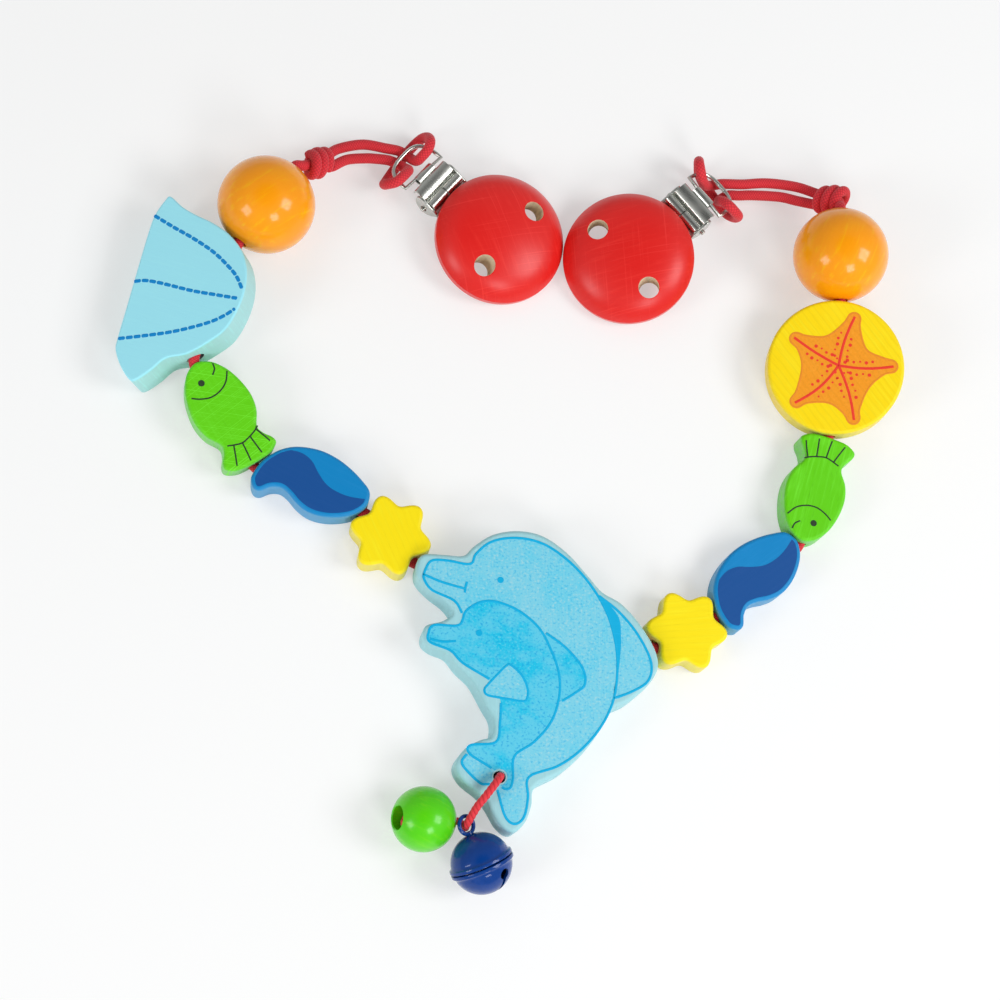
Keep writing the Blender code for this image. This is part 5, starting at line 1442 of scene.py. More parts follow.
class PRAMCHAIN_OT_loops(bpy.types.Operator):
    """Lay the loop of cord past each ball, hitched round its clip's ring"""

    bl_idname = "pramchain.loops"
    bl_label = "Loops and knots"

    def execute(self, context):
        colours, sizes = settings()
        finish = braid_finish("braided cord", colours)
        for side in ("left", "right"):
            knot = wrapped_knot(f"{side}_knot_wraps", knot_frame(side), KNOT_RADIUS,
                                KNOT_WRAPPED_LENGTH, KNOT_WRAPS, STRING_DIAMETER, sizes,
                                finish)
            dress(knot, finish, f"{side}_loop", "red_cord", f"{side}_knot")
            route = loop_route(side)
            path = evenly_spaced(route, CORD_PATH_STEP)
            loop = braided_tube(f"{side}_loop_cord", route, STRING_DIAMETER, sizes, finish)
            dress(loop, finish, f"{side}_loop", "red_cord", f"{side}_cord")
        return {"FINISHED"}


class PRAMCHAIN_OT_pendant_cord(bpy.types.Operator):
    """Lay the pendant's cord with the knots at its two ends"""

    bl_idname = "pramchain.pendant_cord"
    bl_label = "Pendant cord"

    def execute(self, context):
        colours, sizes = settings()
        finish = braid_finish("twisted pendant cord", colours, twisted=True)
        route = pendant_route()
        path = evenly_spaced(route, CORD_PATH_STEP)
        cord = braided_tube("pendant_cord_braid", route, PENDANT_CORD_DIAMETER, sizes, finish,
                            coarse=True)
        dress(cord, finish, "pendant_line", "red_cord", "pendant_cord")
        radius = PENDANT_KNOT_DIAMETER / 2
        seat = GREEN_BALL_DIAMETER / 2 - GREEN_BALL_MOUTH_DEPTH + TOUCH_GAP
        place = green_ball_frame() @ Matrix.Translation((seat, 0, 0))
        knot = wrapped_knot("green_ball_knot_wraps", place, radius, SUNK_KNOT_LENGTH,
                            SUNK_KNOT_WRAPS, SUNK_KNOT_STRAND, sizes, finish, coarse=True)
        dress(knot, finish, "pendant_line", "red_cord", "green_ball_knot")
        hole = dolphin_point(PENDANT_HOLE_SHARES)
        upward = Matrix.Translation(hole + UP * TOUCH_GAP) @ turned(-90, "Y")
        under = wrapped_knot("pendant_knot_wraps", upward, radius, PENDANT_KNOT_DIAMETER,
                             UNDER_KNOT_WRAPS, UNDER_KNOT_STRAND, sizes, finish, coarse=True)
        heights = (radius, DOLPHIN_THICKNESS / 2, DOLPHIN_THICKNESS - STEM_TOP_DEPTH)
        stem = braided_tube("pendant_stem", [hole + UP * height for height in heights],
                            PENDANT_CORD_DIAMETER, sizes, finish, coarse=True)
        merge(under, stem)
        dress(under, finish, "pendant_anchor", "red_cord", "pendant_knot")
        return {"FINISHED"}


def string_stretch(name, start, end, joint, nodes, sizes, finish):
    """The string from the middle of one bead to the middle of the next, laid through the bend's
    place in the gap.
    """
    middle = joint_place(joint)
    route = [start, start.lerp(middle, 0.5), middle, middle.lerp(end, 0.5), end]
    piece = braided_tube(name, route, STRING_DIAMETER, sizes, finish)
    ahead = (end - start).normalized() * BEND_HALF_LENGTH
    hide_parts(*nodes)
    middle - ahead
    middle + ahead
    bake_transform(piece)
    return piece


class PRAMCHAIN_OT_strings(bpy.types.Operator):
    """Run the string through the beads, one stretch for each gap between two of them"""

    bl_idname = "pramchain.strings"
    bl_label = "String"

    def execute(self, context):
        colours, sizes = settings()
        finish = braid_finish("braided string", colours)
        middle = UP * DOLPHIN_THICKNESS / 2
        mouths = {"left": dolphin_point(DOLPHIN_LEFT_MOUTH_SHARES),
                  "right": dolphin_point(DOLPHIN_RIGHT_MOUTH_SHARES)}
        heart = (mouths["left"] + mouths["right"]) / 2 + middle
        chains = {
            "left": ["left_star", "left_wave", "left_fish", "shell_block", "left_ball"],
            "right": ["right_star", "right_wave", "right_fish", "starfish_disc", "right_ball"],
        }
        for side, beads in chains.items():
            start, body, node = heart, "dolphin", "dolphin_string"
            for i, bead in enumerate(beads, start=1):
                end = joint_place(f"{bead}_spin")
                link = f"{side}_link_{i}"
                string = {"shell_block": "shell_string", "starfish_disc": "starfish_string"}
                own = string.get(bead, f"{bead}_string")
                string_stretch(f"{side}_string_{i}", start, end,
                               f"{side}_bend_{i}", (node, own), sizes, finish)
                start, body, node = end, link, own
            knot = knot_frame(side) @ Vector((KNOT_LENGTH * STRING_END_SHARE, 0, 0))
            string_stretch(f"{side}_string_6", start, knot,
                           f"{side}_loop_bend", (node,), sizes, finish)
        return {"FINISHED"}


class PRAMCHAIN_OT_dolphin(bpy.types.Operator):
    """Cut and drill the dolphin block, and print the mother and her calf on it"""

    bl_idname = "pramchain.dolphin"
    bl_label = "Dolphin block"

    def execute(self, context):
        colours, sizes = settings()
        half = DOLPHIN_THICKNESS / 2
        place = Matrix.Translation((0, 0, half))
        margin = colours.dolphin_block
        board = painted_wood("dolphin block paint", place, margin, margin, half, streak=0.3,
                             grain_turn=90)
        edge = outline_from(DOLPHIN_OUTLINE_SHARES, DOLPHIN_WIDTH, DOLPHIN_HEIGHT)
        item = cut_bead("dolphin_board", edge, DOLPHIN_THICKNESS, 0, 0, sizes, board,
                        DOLPHIN_EDGE_ROUND)
        drill(item, dolphin_point(DOLPHIN_LEFT_MOUTH_SHARES),
              dolphin_point(DOLPHIN_RIGHT_MOUTH_SHARES), HOLE_DIAMETER)
        hole = dolphin_point(PENDANT_HOLE_SHARES)
        drill(item, hole - UP * half, hole + UP * half, PENDANT_HOLE_DIAMETER)
        drill(item, hole - UP * half, hole - UP * (half - KNOT_RECESS_DEPTH),
              KNOT_RECESS_DIAMETER, overrun=0.0)
        finish_piece(item, place, board, "dolphin", "sky_paint", "dolphin_block")

        def outline(pixels, closed=True):
            return smooth_curve([on_face(p, place, half) for p in pixels], closed=closed)

        def line(pixels):
            return outline(pixels, closed=False)

        body = painted_wood("mother print", place, colours.dolphin_face, colours.dolphin_face,
                            half, streak=0.34, grain_turn=90, fleck=0.7, worn=0.2,
                            tints=MOTHER_TINTS)
        small = painted_wood("calf print", place, colours.calf_face, colours.calf_face, half,
                             streak=0.26, grain_turn=90, fleck=0.75, worn=0.75,
                             tints=CALF_TINTS)
        ink = print_ink("dolphin ink", place, colours.dolphin_ink)
        jaw = list(reversed(MOTHER_JAW_PIXELS[1:]))
        mother = MOTHER_BACK_PIXELS + MOTHER_FLUKE_PIXELS + MOTHER_BELLY_PIXELS + jaw
        fin = MOTHER_FIN_PIXELS + MOTHER_FIN_ROOT_PIXELS[1:-1]
        calf_fin = CALF_FIN_PIXELS + CALF_FIN_ROOT_PIXELS[:-1]
        pieces = [
            (film(f"{name}_print", outline(pixels), half, level, sizes), material)
            for name, pixels, level, material in (
                ("mother", mother, "ground", body),
                ("mother_fin", fin, "ground", body),
                ("calf", CALF_PIXELS, "calf", small),
                ("calf_fin", calf_fin, "calf", small),
                ("calf_flipper", CALF_FLIPPER_PIXELS, "flipper", body),
                ("fin_shade", MOTHER_FIN_SHADE_PIXELS, "flipper", ink),
            )
        ]
        # The pendant's hole passes through the prints of the mother and the calf
        for piece in (pieces[0][0], pieces[2][0]):
            drill(piece, hole, hole + UP * half, PRINT_HOLE_DIAMETER)
        throat = CALF_PIXELS.index(CALF_THROAT_PIXEL)
        calf_line = CALF_PIXELS[throat:] + CALF_PIXELS[:throat]
        drawn_pixels = (MOTHER_BACK_PIXELS, MOTHER_FLUKE_PIXELS[:-1], MOTHER_JAW_PIXELS,
                        MOTHER_MOUTH_PIXELS, MOTHER_CHEEK_PIXELS, MOTHER_FIN_PIXELS, calf_line,
                        CALF_MOUTH_PIXELS, CALF_FIN_PIXELS,
                        CALF_FLIPPER_PIXELS + CALF_FLIPPER_PIXELS[:1])
        strokes = [line(pixels) for pixels in drawn_pixels]
        reach = (PRINT_HOLE_DIAMETER + sizes.dolphin_line) / 2
        drawn = inked_lines("dolphin_lines", clear_of(strokes, hole, reach), sizes.dolphin_line,
                            half, "dolphin line", sizes)
        eyes = [film(f"{who}_eye", dot_outline(on_face(pixel, place, half), EYE_RADIUS), half,
                     "dolphin eye", sizes)
                for who, pixel in (("mother", MOTHER_EYE_PIXEL), ("calf", CALF_EYE_PIXEL))]
        pieces += [(drawn, ink), (merge(*eyes), ink)]
        for piece, material in pieces:
            lay_print(piece, place, material, "dolphin")
        return {"FINISHED"}


class PRAMCHAIN_OT_stars(bpy.types.Operator):
    """Cut the two yellow star beads"""

    bl_idname = "pramchain.stars"
    bl_label = "Star beads"

    def execute(self, context):
        colours, sizes = settings()
        outline = []
        for i in range(STAR_STEPS):
            angle = math.tau * i / STAR_STEPS
            swell = (1 - math.cos(STAR_TIP_COUNT * angle)) / 2
            radius = STAR_VALLEY_RADIUS + (STAR_TIP_RADIUS - STAR_VALLEY_RADIUS) * swell
            outline.append(Vector((radius * math.cos(angle), radius * math.sin(angle), 0)))
        for name in ("left_star", "right_star"):
            place = bead_frame(name)
            paint = painted_wood(f"{name} paint", place, colours.star_face, colours.star_side,
                                 BEAD_THICKNESS / 2, streak=0.3, grain_turn=20, rings=0.07)
            item = cut_bead(f"{name}_bead", outline, BEAD_THICKNESS, STAR_VALLEY_RADIUS,
                            STAR_VALLEY_RADIUS, sizes, paint)
            finish_piece(item, place, paint, f"{name}_body", "yellow_paint", name)
        return {"FINISHED"}


class PRAMCHAIN_OT_waves(bpy.types.Operator):
    """Cut the two wave beads and print their dark water"""

    bl_idname = "pramchain.waves"
    bl_label = "Wave beads"

    def execute(self, context):
        colours, sizes = settings()
        half = BEAD_THICKNESS / 2
        for name, sign in (("left_wave", -1), ("right_wave", 1)):
            place = bead_frame(name)
            paint = painted_wood(f"{name} paint", place, colours.wave_light, colours.wave_side,
                                 half, streak=0.2, grain_turn=5)
            dark = painted_wood(f"{name} water", place, colours.wave_dark, colours.wave_dark,
                                half, streak=0.12, grain_turn=5)
            outline = outline_from(WAVE_OUTLINE_SHARES, WAVE_LENGTH, WAVE_WIDTH, sign)
            back, front = WAVE_BACK_SHARE, WAVE_FRONT_SHARE
            if sign < 0:
                back, front = front, back
            item = cut_bead(f"{name}_bead", outline, BEAD_THICKNESS, WAVE_LENGTH * back,
                            WAVE_LENGTH * front, sizes, paint)
            finish_piece(item, place, paint, f"{name}_body", "wave_paint", name)
            margin = sizes.edge_round + sizes.wave_rim * WAVE_RIM_SHARE
            water = film(f"{name}_water", inset(outline, margin), half, "ground", sizes)
            crest = stroke_from(WAVE_CREST_MM, sign)
            above = [Vector((crest[i].x, sign * WAVE_LENGTH, 0)) for i in (-1, 0)]
            sky = flat_piece("sky_tool", crest + above, half - DRILL_OVERRUN,
                             half + DRILL_OVERRUN)
            combine(water, sky, "DIFFERENCE")
            lay_print(water, place, dark, f"{name}_body")
        return {"FINISHED"}


def inset(outline, distance):
    """An outline moved inwards by a distance."""
    count = len(outline)
    area = sum(a.x * b.y - b.x * a.y for a, b in zip(outline, outline[1:] + outline[:1]))
    turn = 1 if area > 0 else -1
    result = []
    for i, place in enumerate(outline):
        ahead = (outline[(i + 1) % count] - outline[i - 1]).normalized()
        result.append(place + Vector((-ahead.y, ahead.x, 0)) * distance * turn)
    return result


class PRAMCHAIN_OT_fish(bpy.types.Operator):
    """Cut the two green fish beads and print their faces and tails"""

    bl_idname = "pramchain.fish"
    bl_label = "Fish beads"

    def execute(self, context):
        colours, sizes = settings()
        half = BEAD_THICKNESS / 2
        lower = [(x, -y) for x, y in reversed(FISH_HALF_OUTLINE_SHARES)]
        shares = [(FISH_END_SHARE, 0.0)] + FISH_HALF_OUTLINE_SHARES + lower
        for name, (sign, streak, scratch) in FISH_FINISHES.items():
            place = bead_frame(name)
            paint = painted_wood(f"{name} paint", place, colours.fish_face, colours.fish_side,
                                 half, streak, scratch=scratch)
            ink = print_ink(f"{name} ink", place, colours.fish_ink)
            outline = outline_from(shares, FISH_LENGTH, FISH_WIDTH, sign)
            reach = FISH_LENGTH * FISH_END_SHARE
            item = cut_bead(f"{name}_bead", outline, BEAD_THICKNESS, reach, reach, sizes, paint)
            finish_piece(item, place, paint, f"{name}_body", "green_paint", name)
            strokes = [stroke_from(stroke, sign) for stroke in FISH_LINES_MM]
            drawn = inked_lines(f"{name}_lines", strokes, sizes.fish_line, half, "ground", sizes)
            centre = [sign * c * MM for c in FISH_EYE_MM]
            eye = film(f"{name}_eye", dot_outline(centre, FISH_EYE_RADIUS), half, "fish eye",
                       sizes)
            lay_print(merge(drawn, eye), place, ink, f"{name}_body")
        return {"FINISHED"}


class PRAMCHAIN_OT_shell(bpy.types.Operator):
    """Cut the pale blue shell and print its stitched ribs"""

    bl_idname = "pramchain.shell"
    bl_label = "Shell"

    def execute(self, context):
        colours, sizes = settings()
        half = SHELL_THICKNESS / 2
        place = bead_frame("shell_block")
        paint = painted_wood("shell paint", place, colours.shell_face, colours.shell_side, half,
                             streak=0.12, grain_turn=90)
        item = cut_bead("shell_bead", outline_from(SHELL_OUTLINE_SHARES, SHELL_LENGTH, SHELL_WIDTH),
                        SHELL_THICKNESS, SHELL_LENGTH * SHELL_BACK_SHARE,
                        SHELL_LENGTH * SHELL_FRONT_SHARE, sizes, paint, SHELL_EDGE_ROUND)
        finish_piece(item, place, paint, "shell_block_body", "pale_blue_paint", "shell_block")
        strokes = []
        for places in SHELL_STITCHES_MM:
            rib = evenly_spaced([Vector((x * MM, y * MM, 0)) for x, y in places],
                                sizes.stitch_pitch / STITCH_STEPS)
            for first in range(0, len(rib) - 3, STITCH_STEPS):
                strokes.append(rib[first:first + STITCH_STEPS])
        ink = print_ink("shell ink", place, colours.shell_stitch)
        drawn = inked_lines("shell_stitches", strokes, sizes.stitch_width, half, "ground", sizes,
                            taper=True)
        lay_print(drawn, place, ink, "shell_block_body")
        return {"FINISHED"}


class PRAMCHAIN_OT_starfish(bpy.types.Operator):
    """Turn the yellow disc and print a spotted starfish on it"""

    bl_idname = "pramchain.starfish"
    bl_label = "Starfish disc"

    def execute(self, context):
        colours, sizes = settings()
        half = STARFISH_DISC_THICKNESS / 2
        place = bead_frame("starfish_disc")
        radius = STARFISH_DISC_DIAMETER / 2
        paint = painted_wood("starfish disc paint", place, colours.disc_face, colours.disc_side,
                             half, streak=0.4, grain_turn=STARFISH_GRAIN_TURN_DEG, rings=0.17)
        item = cut_bead("starfish_bead", dot_outline((0, 0), radius, DISC_STEPS),
                        STARFISH_DISC_THICKNESS, radius, radius, sizes, paint)
        finish_piece(item, place, paint, "starfish_disc_body", "yellow_paint", "starfish_disc")
        middle = on_face(STARFISH_DISC_PIXEL, place, half)

        def point(pixel):
            return (on_face(pixel, place, half) - middle) * STARFISH_SHARE

        tips = [point(p) for p in STARFISH_TIP_PIXELS]
        valleys = [point(p) for p in STARFISH_VALLEY_PIXELS]
        centre = point(STARFISH_CENTRE_PIXEL)
        outline, veins, spots = [], [], []
        for i, tip in enumerate(tips):
            before, after = valleys[i - 1], valleys[i]
            arm = (tip - centre).normalized()
            side = Vector((-arm.y, arm.x, 0))
            if (before - after).dot(side) < 0:
                side.negate()
            rising = [tip - arm * back + side * out for back, out in ARM_SHOULDERS]
            falling = [tip - arm * back - side * out for back, out in reversed(ARM_SHOULDERS)]
            outline += rising + [tip] + falling + [after]
            bow = STARFISH_BOWS_MM[i] * MM
            end = tip - arm * VEIN_END_GAP
            lean = Vector((arm.y, -arm.x, 0))
            veins.append([centre.lerp(end, s / VEIN_STEPS)
                          + lean * bow * math.sin(math.pi * s / VEIN_STEPS)
                          for s in range(VEIN_STEPS + 1)])
            for step in range(SPOTS_PER_SIDE):
                for sign in (-1, 1):
                    reach = SPOT_START_SHARE + SPOT_STEP_SHARE * step + SPOT_STAGGER_SHARE * sign
                    away = SPOT_AWAY + SPOT_AWAY_STEP * ((step + i) % 2)
                    bend = lean * bow * math.sin(math.pi * reach)
                    spot = centre + (end - centre) * reach + bend + side * sign * away
                    size = SPOT_RADIUS + SPOT_RADIUS_STEP * ((2 * step + i + sign) % 3)
                    spots.append(film("spot", dot_outline(spot, size, SPOT_SIDES), half, "spot",
                                      sizes))
        outline = smooth_curve(outline, closed=True)
        body = painted_wood("starfish print", place, colours.starfish_body,
                            colours.starfish_body, half, streak=0.3,
                            grain_turn=STARFISH_GRAIN_TURN_DEG, rings=0.15, fleck=0.3)
        edge = print_ink("starfish edge ink", place, colours.starfish_edge)
        ink = print_ink("starfish ink", place, colours.starfish_ink)
        star = film("starfish_print", outline, half, "ground", sizes)
        rim = inked_lines("starfish_rim", [outline + outline[:1]], RIM_WIDTH, half, "rim", sizes)
        veins = inked_lines("starfish_veins", veins, VEIN_WIDTH, half, "vein", sizes)
        for piece, material in ((star, body), (rim, edge), (veins, ink), (merge(*spots), ink)):
            lay_print(piece, place, material, "starfish_disc_body")
        return {"FINISHED"}


def ball_section(radius, bore, rings, mouth=None, depth=0.0):
    """Section of a ball bored along its axis, with its edges eased."""
    front = mouth or bore
    first = math.asin((front + EASE_WIDTH) / radius)
    last = math.pi - math.asin((bore + EASE_WIDTH) / radius)
    profile = []
    for i in range(rings + 1):
        angle = first + (last - first) * i / rings
        profile.append((radius * math.sin(angle), radius * math.cos(angle)))
    profile.append((bore, radius * math.cos(last) + EASE_WIDTH))
    if mouth:
        floor = math.sqrt(radius**2 - mouth**2) - depth
        profile += [(bore, floor), (mouth * MOUTH_FLOOR_SHARE, floor)]
    profile.append((front, radius * math.cos(first) - EASE_WIDTH))
    return profile


class PRAMCHAIN_OT_balls(bpy.types.Operator):
    """Turn the two varnished orange balls"""

    bl_idname = "pramchain.balls"
    bl_label = "Orange balls"

    def execute(self, context):
        colours, _ = settings()
        for side in ("left", "right"):
            place = bead_frame(f"{side}_ball")
            stain = varnished_wood(f"{side} ball varnish", place, colours.ball_orange,
                                   PALE_ORANGE, haze=0.13)
            profile = ball_section(BALL_DIAMETER / 2, HOLE_DIAMETER / 2, BALL_RINGS)
            item = lathe_piece(f"{side}_orange_ball", profile, BALL_STEPS, "X", closed=True)
            finish_piece(item, place, stain, f"{side}_ball_body", "orange_varnish",
                         f"{side}_ball", TURNED_ANGLE_DEG, weighted=False)
        return {"FINISHED"}


def disc_section():
    """Section of a clip's domed disc, from the middle of its top to the middle underneath."""
    radius = DISC_DIAMETER / 2
    profile = [(0.0, DISC_THICKNESS)]
    shoulder = DISC_THICKNESS - DISC_RIM_HEIGHT - DISC_DOME_DROP
    for i in range(1, DISC_DOME_STEPS + 1):
        share = math.sin(i / DISC_DOME_STEPS * math.pi / 2)
        drop = DISC_DOME_DROP * share**2 + shoulder * share**DISC_SHOULDER_POWER
        profile.append((radius * share, DISC_THICKNESS - drop))
    for i in range(DISC_EDGE_STEPS + 1):
        angle = math.radians(90 / DISC_EDGE_STEPS * i)
        profile.append((radius - DISC_EDGE_ROUND * (1 - math.cos(angle)),
                        DISC_EDGE_ROUND * (1 - math.sin(angle))))
    return profile + [(0.0, 0.0)]


class PRAMCHAIN_OT_clips(bpy.types.Operator):
    """Turn the clips' red discs with their air holes, and fit their metal"""

    bl_idname = "pramchain.clips"
    bl_label = "Clips"

    def execute(self, context):
        colours, _ = settings()
        metal = nickel_finish("nickel plate", colours)
        pad = pad_finish("white pad plastic", colours)
        for side in ("left", "right"):
            place = clip_frame(side)
            stain = varnished_wood(f"{side} disc varnish", place, colours.clip_red, PALE_RED,
                                   haze=0.32, scratch=0.3)
            raw = bare_wood(f"{side} air hole wood", place, colours.raw_wood)
            item = lathe_piece(f"{side}_red_disc", disc_section(), DISC_STEPS)
            item.data.materials.append(stain)
            for across in (-VENT_SPACING / 2, VENT_SPACING / 2):
                low = Vector((VENT_OFFSET, across, 0))
                drill(item, low, low + UP * DISC_THICKNESS, VENT_DIAMETER, raw)
            round_edges(item, DISC_HOLE_EASE, 2)
            finish_piece(item, place, stain, f"{side}_clip", "red_varnish", f"{side}_clip_disc",
                         TURNED_ANGLE_DEG)
            dress(ring_wire(side), metal, f"{side}_ring_body", "nickel", f"{side}_ring")
            finish_piece(clip_plate(side), place, metal, f"{side}_clip", "nickel",
                         f"{side}_clip_plate", TURNED_ANGLE_DEG)
            pin = rod_piece(f"{side}_hinge_pin", PIN_PLACE + Vector((0, -PIN_HALF, 0)),
                            PIN_PLACE + Vector((0, PIN_HALF, 0)), PIN_DIAMETER / 2)
            round_edges(pin, PIN_EDGE_ROUND, 3)
            finish_piece(pin, place, metal, f"{side}_clip", "nickel", f"{side}_clip_pin",
                         SMALL_ANGLE_DEG)
            rivet = lathe_piece(f"{side}_pressed_rivet", RIVET_SECTION, RIVET_STEPS)
            finish_piece(rivet, place @ Matrix.Translation((RIVET_X, 0, 0)), metal,
                         f"{side}_clip", "nickel", f"{side}_rivet", SMALL_ANGLE_DEG)
            opened = (Matrix.Translation(PIN_PLACE) @ turned(-LEVER_OPEN_DEG[side], "Y")
                      @ Matrix.Translation(-PIN_PLACE))
            finish_piece(clip_flap(side), place @ opened, metal, f"{side}_lever", "nickel",
                         f"{side}_clip_lever", TURNED_ANGLE_DEG)
            refinish(f"{side}_jaw_pad", pad)
        return {"FINISHED"}


def arc_path(middle, radius, first_deg, last_deg, steps):
    """Places along an arc in a side view of (x, z), the angles counted from x towards z."""
    x, z = middle
    angles = [math.radians(first_deg + (last_deg - first_deg) * i / steps)
              for i in range(steps + 1)]
    return [(x + radius * math.cos(a), z + radius * math.sin(a)) for a in angles]


def sheet_piece(name, path, width, thickness):
    """A strip of sheet metal bent along a side view of (x, z) places."""
    item = outline_object(name, [[Vector((x, -width / 2, z)) for x, z in path]], False)
    bpy.ops.object.convert(target="MESH")
    edit(item)
    bpy.ops.mesh.extrude_region_move(TRANSFORM_OT_translate={"value": (0, width, 0)})
    leave_edit()
    apply_modifier(item, "SOLIDIFY", thickness=thickness, offset=0.0, use_even_offset=True)
    edit(item)
    bpy.ops.mesh.normals_make_consistent(inside=False)
    leave_edit()
    round_edges(item, thickness * SHEET_ROUND_SHARE, 2)
    return item


def clip_plate(side):
    """The stamped plate: its flat back, a roll at the disc's edge, a hood and the ring's eye."""
    level = -TOUCH_GAP - PLATE_THICKNESS / 2
    path = [(PLATE_END_X, level), (ROLL_START_X, level)]
    path += arc_path((ROLL_MIDDLE[0], level + ROLL_MIDDLE[1]), ROLL_RADIUS, 185, -5, 16)
    path += [(x, level + z) for x, z in ROLL_DIP]
    path += [(HOOD_X + x, HOOD_HEIGHT + z) for x, z in HOOD_BOW]
    path.append((HOOD_X + HOOD_EDGE[0], level + HOOD_EDGE[1]))
    plate = sheet_piece(f"{side}_stamped_plate", path, PLATE_WIDTH - 2 * PLATE_THICKNESS,
                        PLATE_SHEET)
    notch = flat_piece("notch", [Vector((x, y, 0)) for x, y in NOTCH_OUTLINE],
                       level + NOTCH_RISE, NOTCH_TOP)
    combine(plate, notch, "DIFFERENCE")
    tongue = [(HOOD_X + EYE_START_X, level)]
    tongue += arc_path((EYE_REACH, level), EYE_ROLL_RADIUS, 180, -160, ROLL_STEPS)
    eye = sheet_piece("eye", tongue, EYE_WIDTH, EYE_SHEET)
    wings = []
    for sign in (-1, 1):
        ear = flat_piece("ear", smooth_curve([Vector((x, z, 0)) for x, z in EAR_OUTLINE],
                                             closed=True), 0, PLATE_THICKNESS)
        round_edges(ear, EAR_EDGE_ROUND, 2)
        outer = sign * PLATE_WIDTH / 2
        inward = Matrix.Translation((0, outer if sign > 0 else outer + PLATE_THICKNESS, 0))
        place_piece(ear, inward @ turned(90, "X"))
        drill(ear, PIN_PLACE + Vector((0, outer - MM, 0)), PIN_PLACE + Vector((0, outer + MM, 0)),
              PIN_DIAMETER + 2 * TOUCH_GAP)
        wings.append(ear)
    return merge(plate, eye, *wings)


def clip_flap(side):
    """The flap that jaws against the plate, rolled round the pin, with a lip at its tip."""
    path = [(x, FLAP_LEVEL + z) for x, z in FLAP_LIP]
    path += arc_path((PIN_PLACE.x, PIN_PLACE.z), FLAP_ROLL_RADIUS, 198, 520, ROLL_STEPS)
    return sheet_piece(f"{side}_flap", path, FLAP_WIDTH, FLAP_SHEET)


def ring_wire(side):
    item = outline_object(f"{side}_wire_ring", [ring_route(side)[:-1]], True)
    item.data.bevel_depth = RING_WIRE_DIAMETER / 2
    item.data.bevel_resolution = 4
    bpy.ops.object.convert(target="MESH")
    smooth_piece(item, WIRE_ANGLE_DEG, weighted=False)
    return item


def refinish(node, material):
    """Give a carried-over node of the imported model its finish."""
    for slot in frame["nodes"][node].material_slots:
        slot.material = material


def bell_half(name, sign):
    """Section of half the bell with its rolled flange, spun round."""
    outer, inner = BELL_DIAMETER / 2, BELL_DIAMETER / 2 - BELL_WALL
    low = TOUCH_GAP / 2
    lip = low + BELL_RIDGE_THICKNESS
    hole = BELL_EYE_STEM / 2 + TOUCH_GAP if sign > 0 else 0.0

    def arc(radius, first, last):
        steps = BELL_ARC_STEPS
        angles = [first + (last - first) * i / steps for i in range(steps + 1)]
        return [(radius * math.cos(a), radius * math.sin(a)) for a in angles]

    profile = arc(inner, math.acos(hole / inner), math.asin(lip / inner))
    rim = outer + BELL_FLANGE
    ease, corner, fillet = BELL_RIDGE_EASES
    profile += [(inner, low), (rim - corner, low), (rim - ease, low + ease),
                (rim, low + BELL_RIDGE_MIDDLE), (rim - ease, lip - ease), (rim - corner, lip),
                (outer + ease * 2, lip + ease)]
    profile += arc(outer, math.asin((lip + fillet) / outer), math.acos(hole / outer))
    profile = [(r, sign * z) for r, z in profile]
    return lathe_piece(name, profile, BALL_STEPS, closed=sign > 0)


class PRAMCHAIN_OT_bell(bpy.types.Operator):
    """Press the blue jingle bell with its slot, its eye and the pellet inside"""

    bl_idname = "pramchain.bell"
    bl_label = "Bell"

    def execute(self, context):
        colours, _ = settings()
        enamel = enamel_finish("bell enamel", colours)
        metal = nickel_finish("pellet nickel", colours)
        place = bell_frame()
        upper = bell_half("bell_crown", 1)
        lower = bell_half("bell_cup", -1)
        radius = BELL_DIAMETER / 2
        reach = math.radians(BELL_SLOT_REACH_DEG)
        pick_none()
        bpy.ops.mesh.primitive_cube_add(size=1, location=(0, 0, -radius))
        saw = bpy.context.object
        saw.scale = (2 * radius * math.sin(reach), BELL_SLOT_WIDTH,
                     2 * radius * (1 - math.cos(reach)))
        bpy.ops.object.transform_apply(location=True, rotation=True, scale=True)
        combine(lower, saw, "DIFFERENCE")
        for sign in (-1, 1):
            out = Vector((sign * math.sin(reach), 0, -math.cos(reach)))
            drill(lower, (radius - BELL_WALL) * out, radius * out, BELL_SLOT_HOLE_DIAMETER)
        place_piece(lower, turned(BELL_SLOT_TURN_DEG, "Z"))
        for piece, node in ((upper, "bell_upper"), (lower, "bell_lower")):
            finish_piece(piece, place, enamel, "bell", "blue_enamel", node, TURNED_ANGLE_DEG)
        middle = bell_eye_height()
        inner = radius - BELL_WALL
        foot_top = inner - 2 * TOUCH_GAP
        stem_top = middle - BELL_EYE_DIAMETER / 2 + BELL_EYE_WIRE
        stem = rod_piece("bell_hook", (0, 0, foot_top - BELL_EYE_FOOT_HEIGHT + TOUCH_GAP),
                         (0, 0, stem_top), BELL_EYE_STEM / 2)
        foot = rod_piece("foot", (0, 0, foot_top - BELL_EYE_FOOT_HEIGHT), (0, 0, foot_top),
                         BELL_EYE_FOOT_DIAMETER / 2)
        combine(stem, foot, "UNION")
        pick_none()
        bpy.ops.mesh.primitive_torus_add(major_radius=BELL_EYE_DIAMETER / 2 - BELL_EYE_WIRE / 2,
                                         minor_radius=BELL_EYE_WIRE / 2,
                                         major_segments=BELL_EYE_STEPS,
                                         minor_segments=BELL_EYE_SIDES)
        loop = bpy.context.object
        turn = turned(BELL_EYE_TURN_DEG - BELL_TURN_DEG, "Z") @ turned(90, "X")
        place_piece(loop, Matrix.Translation((0, 0, middle)) @ turn)
        combine(stem, loop, "UNION")
        finish_piece(stem, place, enamel, "bell", "blue_enamel", "bell_eye", TURNED_ANGLE_DEG)
        refinish("bell_pellet", metal)
        return {"FINISHED"}


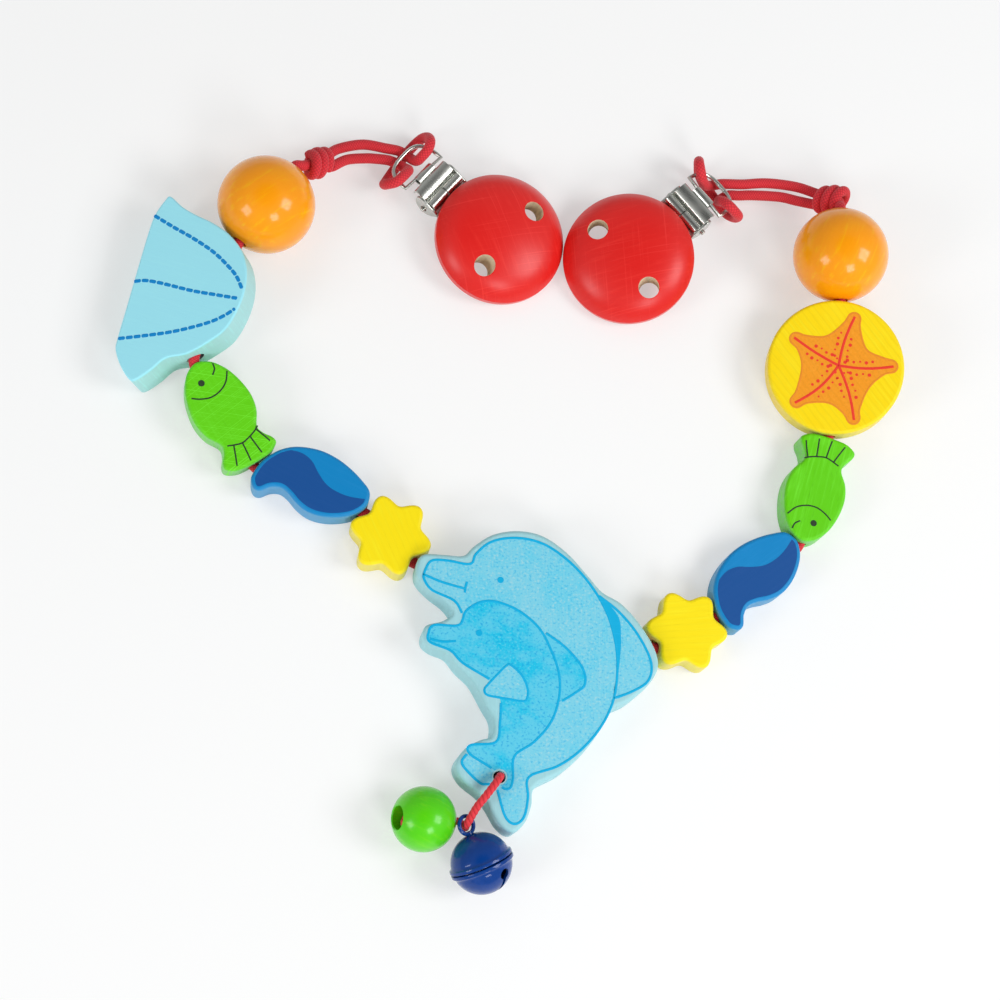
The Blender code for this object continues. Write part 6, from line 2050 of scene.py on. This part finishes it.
class PRAMCHAIN_OT_green_ball(bpy.types.Operator):
    """Turn the pendant's green ball with its open mouth"""

    bl_idname = "pramchain.green_ball"
    bl_label = "Green ball"

    def execute(self, context):
        colours, _ = settings()
        place = green_ball_frame()
        stain = varnished_wood("green ball varnish", place, colours.pendant_green, PALE_GREEN,
                               haze=0.2)
        profile = ball_section(GREEN_BALL_DIAMETER / 2, GREEN_BALL_BORE / 2, GREEN_BALL_RINGS,
                               GREEN_BALL_MOUTH_DIAMETER / 2, GREEN_BALL_MOUTH_DEPTH)
        item = lathe_piece("pendant_green_ball", profile, BALL_STEPS, "X", closed=True)
        finish_piece(item, place, stain, "green_ball_body", "green_paint", "green_ball",
                     TURNED_ANGLE_DEG, weighted=False)
        return {"FINISHED"}


OPERATORS = (
    PRAMCHAIN_OT_stage,
    PRAMCHAIN_OT_loops,
    PRAMCHAIN_OT_pendant_cord,
    PRAMCHAIN_OT_strings,
    PRAMCHAIN_OT_dolphin,
    PRAMCHAIN_OT_stars,
    PRAMCHAIN_OT_waves,
    PRAMCHAIN_OT_fish,
    PRAMCHAIN_OT_shell,
    PRAMCHAIN_OT_starfish,
    PRAMCHAIN_OT_balls,
    PRAMCHAIN_OT_clips,
    PRAMCHAIN_OT_bell,
    PRAMCHAIN_OT_green_ball,
)


class PRAMCHAIN_PT_pieces(bpy.types.Panel):
    """Lists the toy's pieces in the order in which they are made"""

    bl_idname = "PRAMCHAIN_PT_pieces"
    bl_label = "Pram chain toy"
    bl_space_type = "VIEW_3D"
    bl_region_type = "UI"
    bl_category = "Pram chain"

    def draw(self, context):
        for operator in OPERATORS:
            self.layout.operator(operator.bl_idname)
        for group in (context.scene.pram_chain_colours, context.scene.pram_chain_sizes):
            box = self.layout.box()
            for name in type(group).__annotations__:
                box.prop(group, name)


CLASSES = (PramChainColours, PramChainSizes, *OPERATORS, PRAMCHAIN_PT_pieces)


def register():
    for item in CLASSES:
        bpy.utils.register_class(item)
    bpy.types.Scene.pram_chain_colours = PointerProperty(type=PramChainColours)
    bpy.types.Scene.pram_chain_sizes = PointerProperty(type=PramChainSizes)


def unregister():
    del bpy.types.Scene.pram_chain_sizes
    del bpy.types.Scene.pram_chain_colours
    for item in reversed(CLASSES):
        bpy.utils.unregister_class(item)


def main():
    register()
    for operator in OPERATORS:
        group, name = operator.bl_idname.split(".")
        getattr(getattr(bpy.ops, group), name)()


if __name__ == "__main__":
    main()
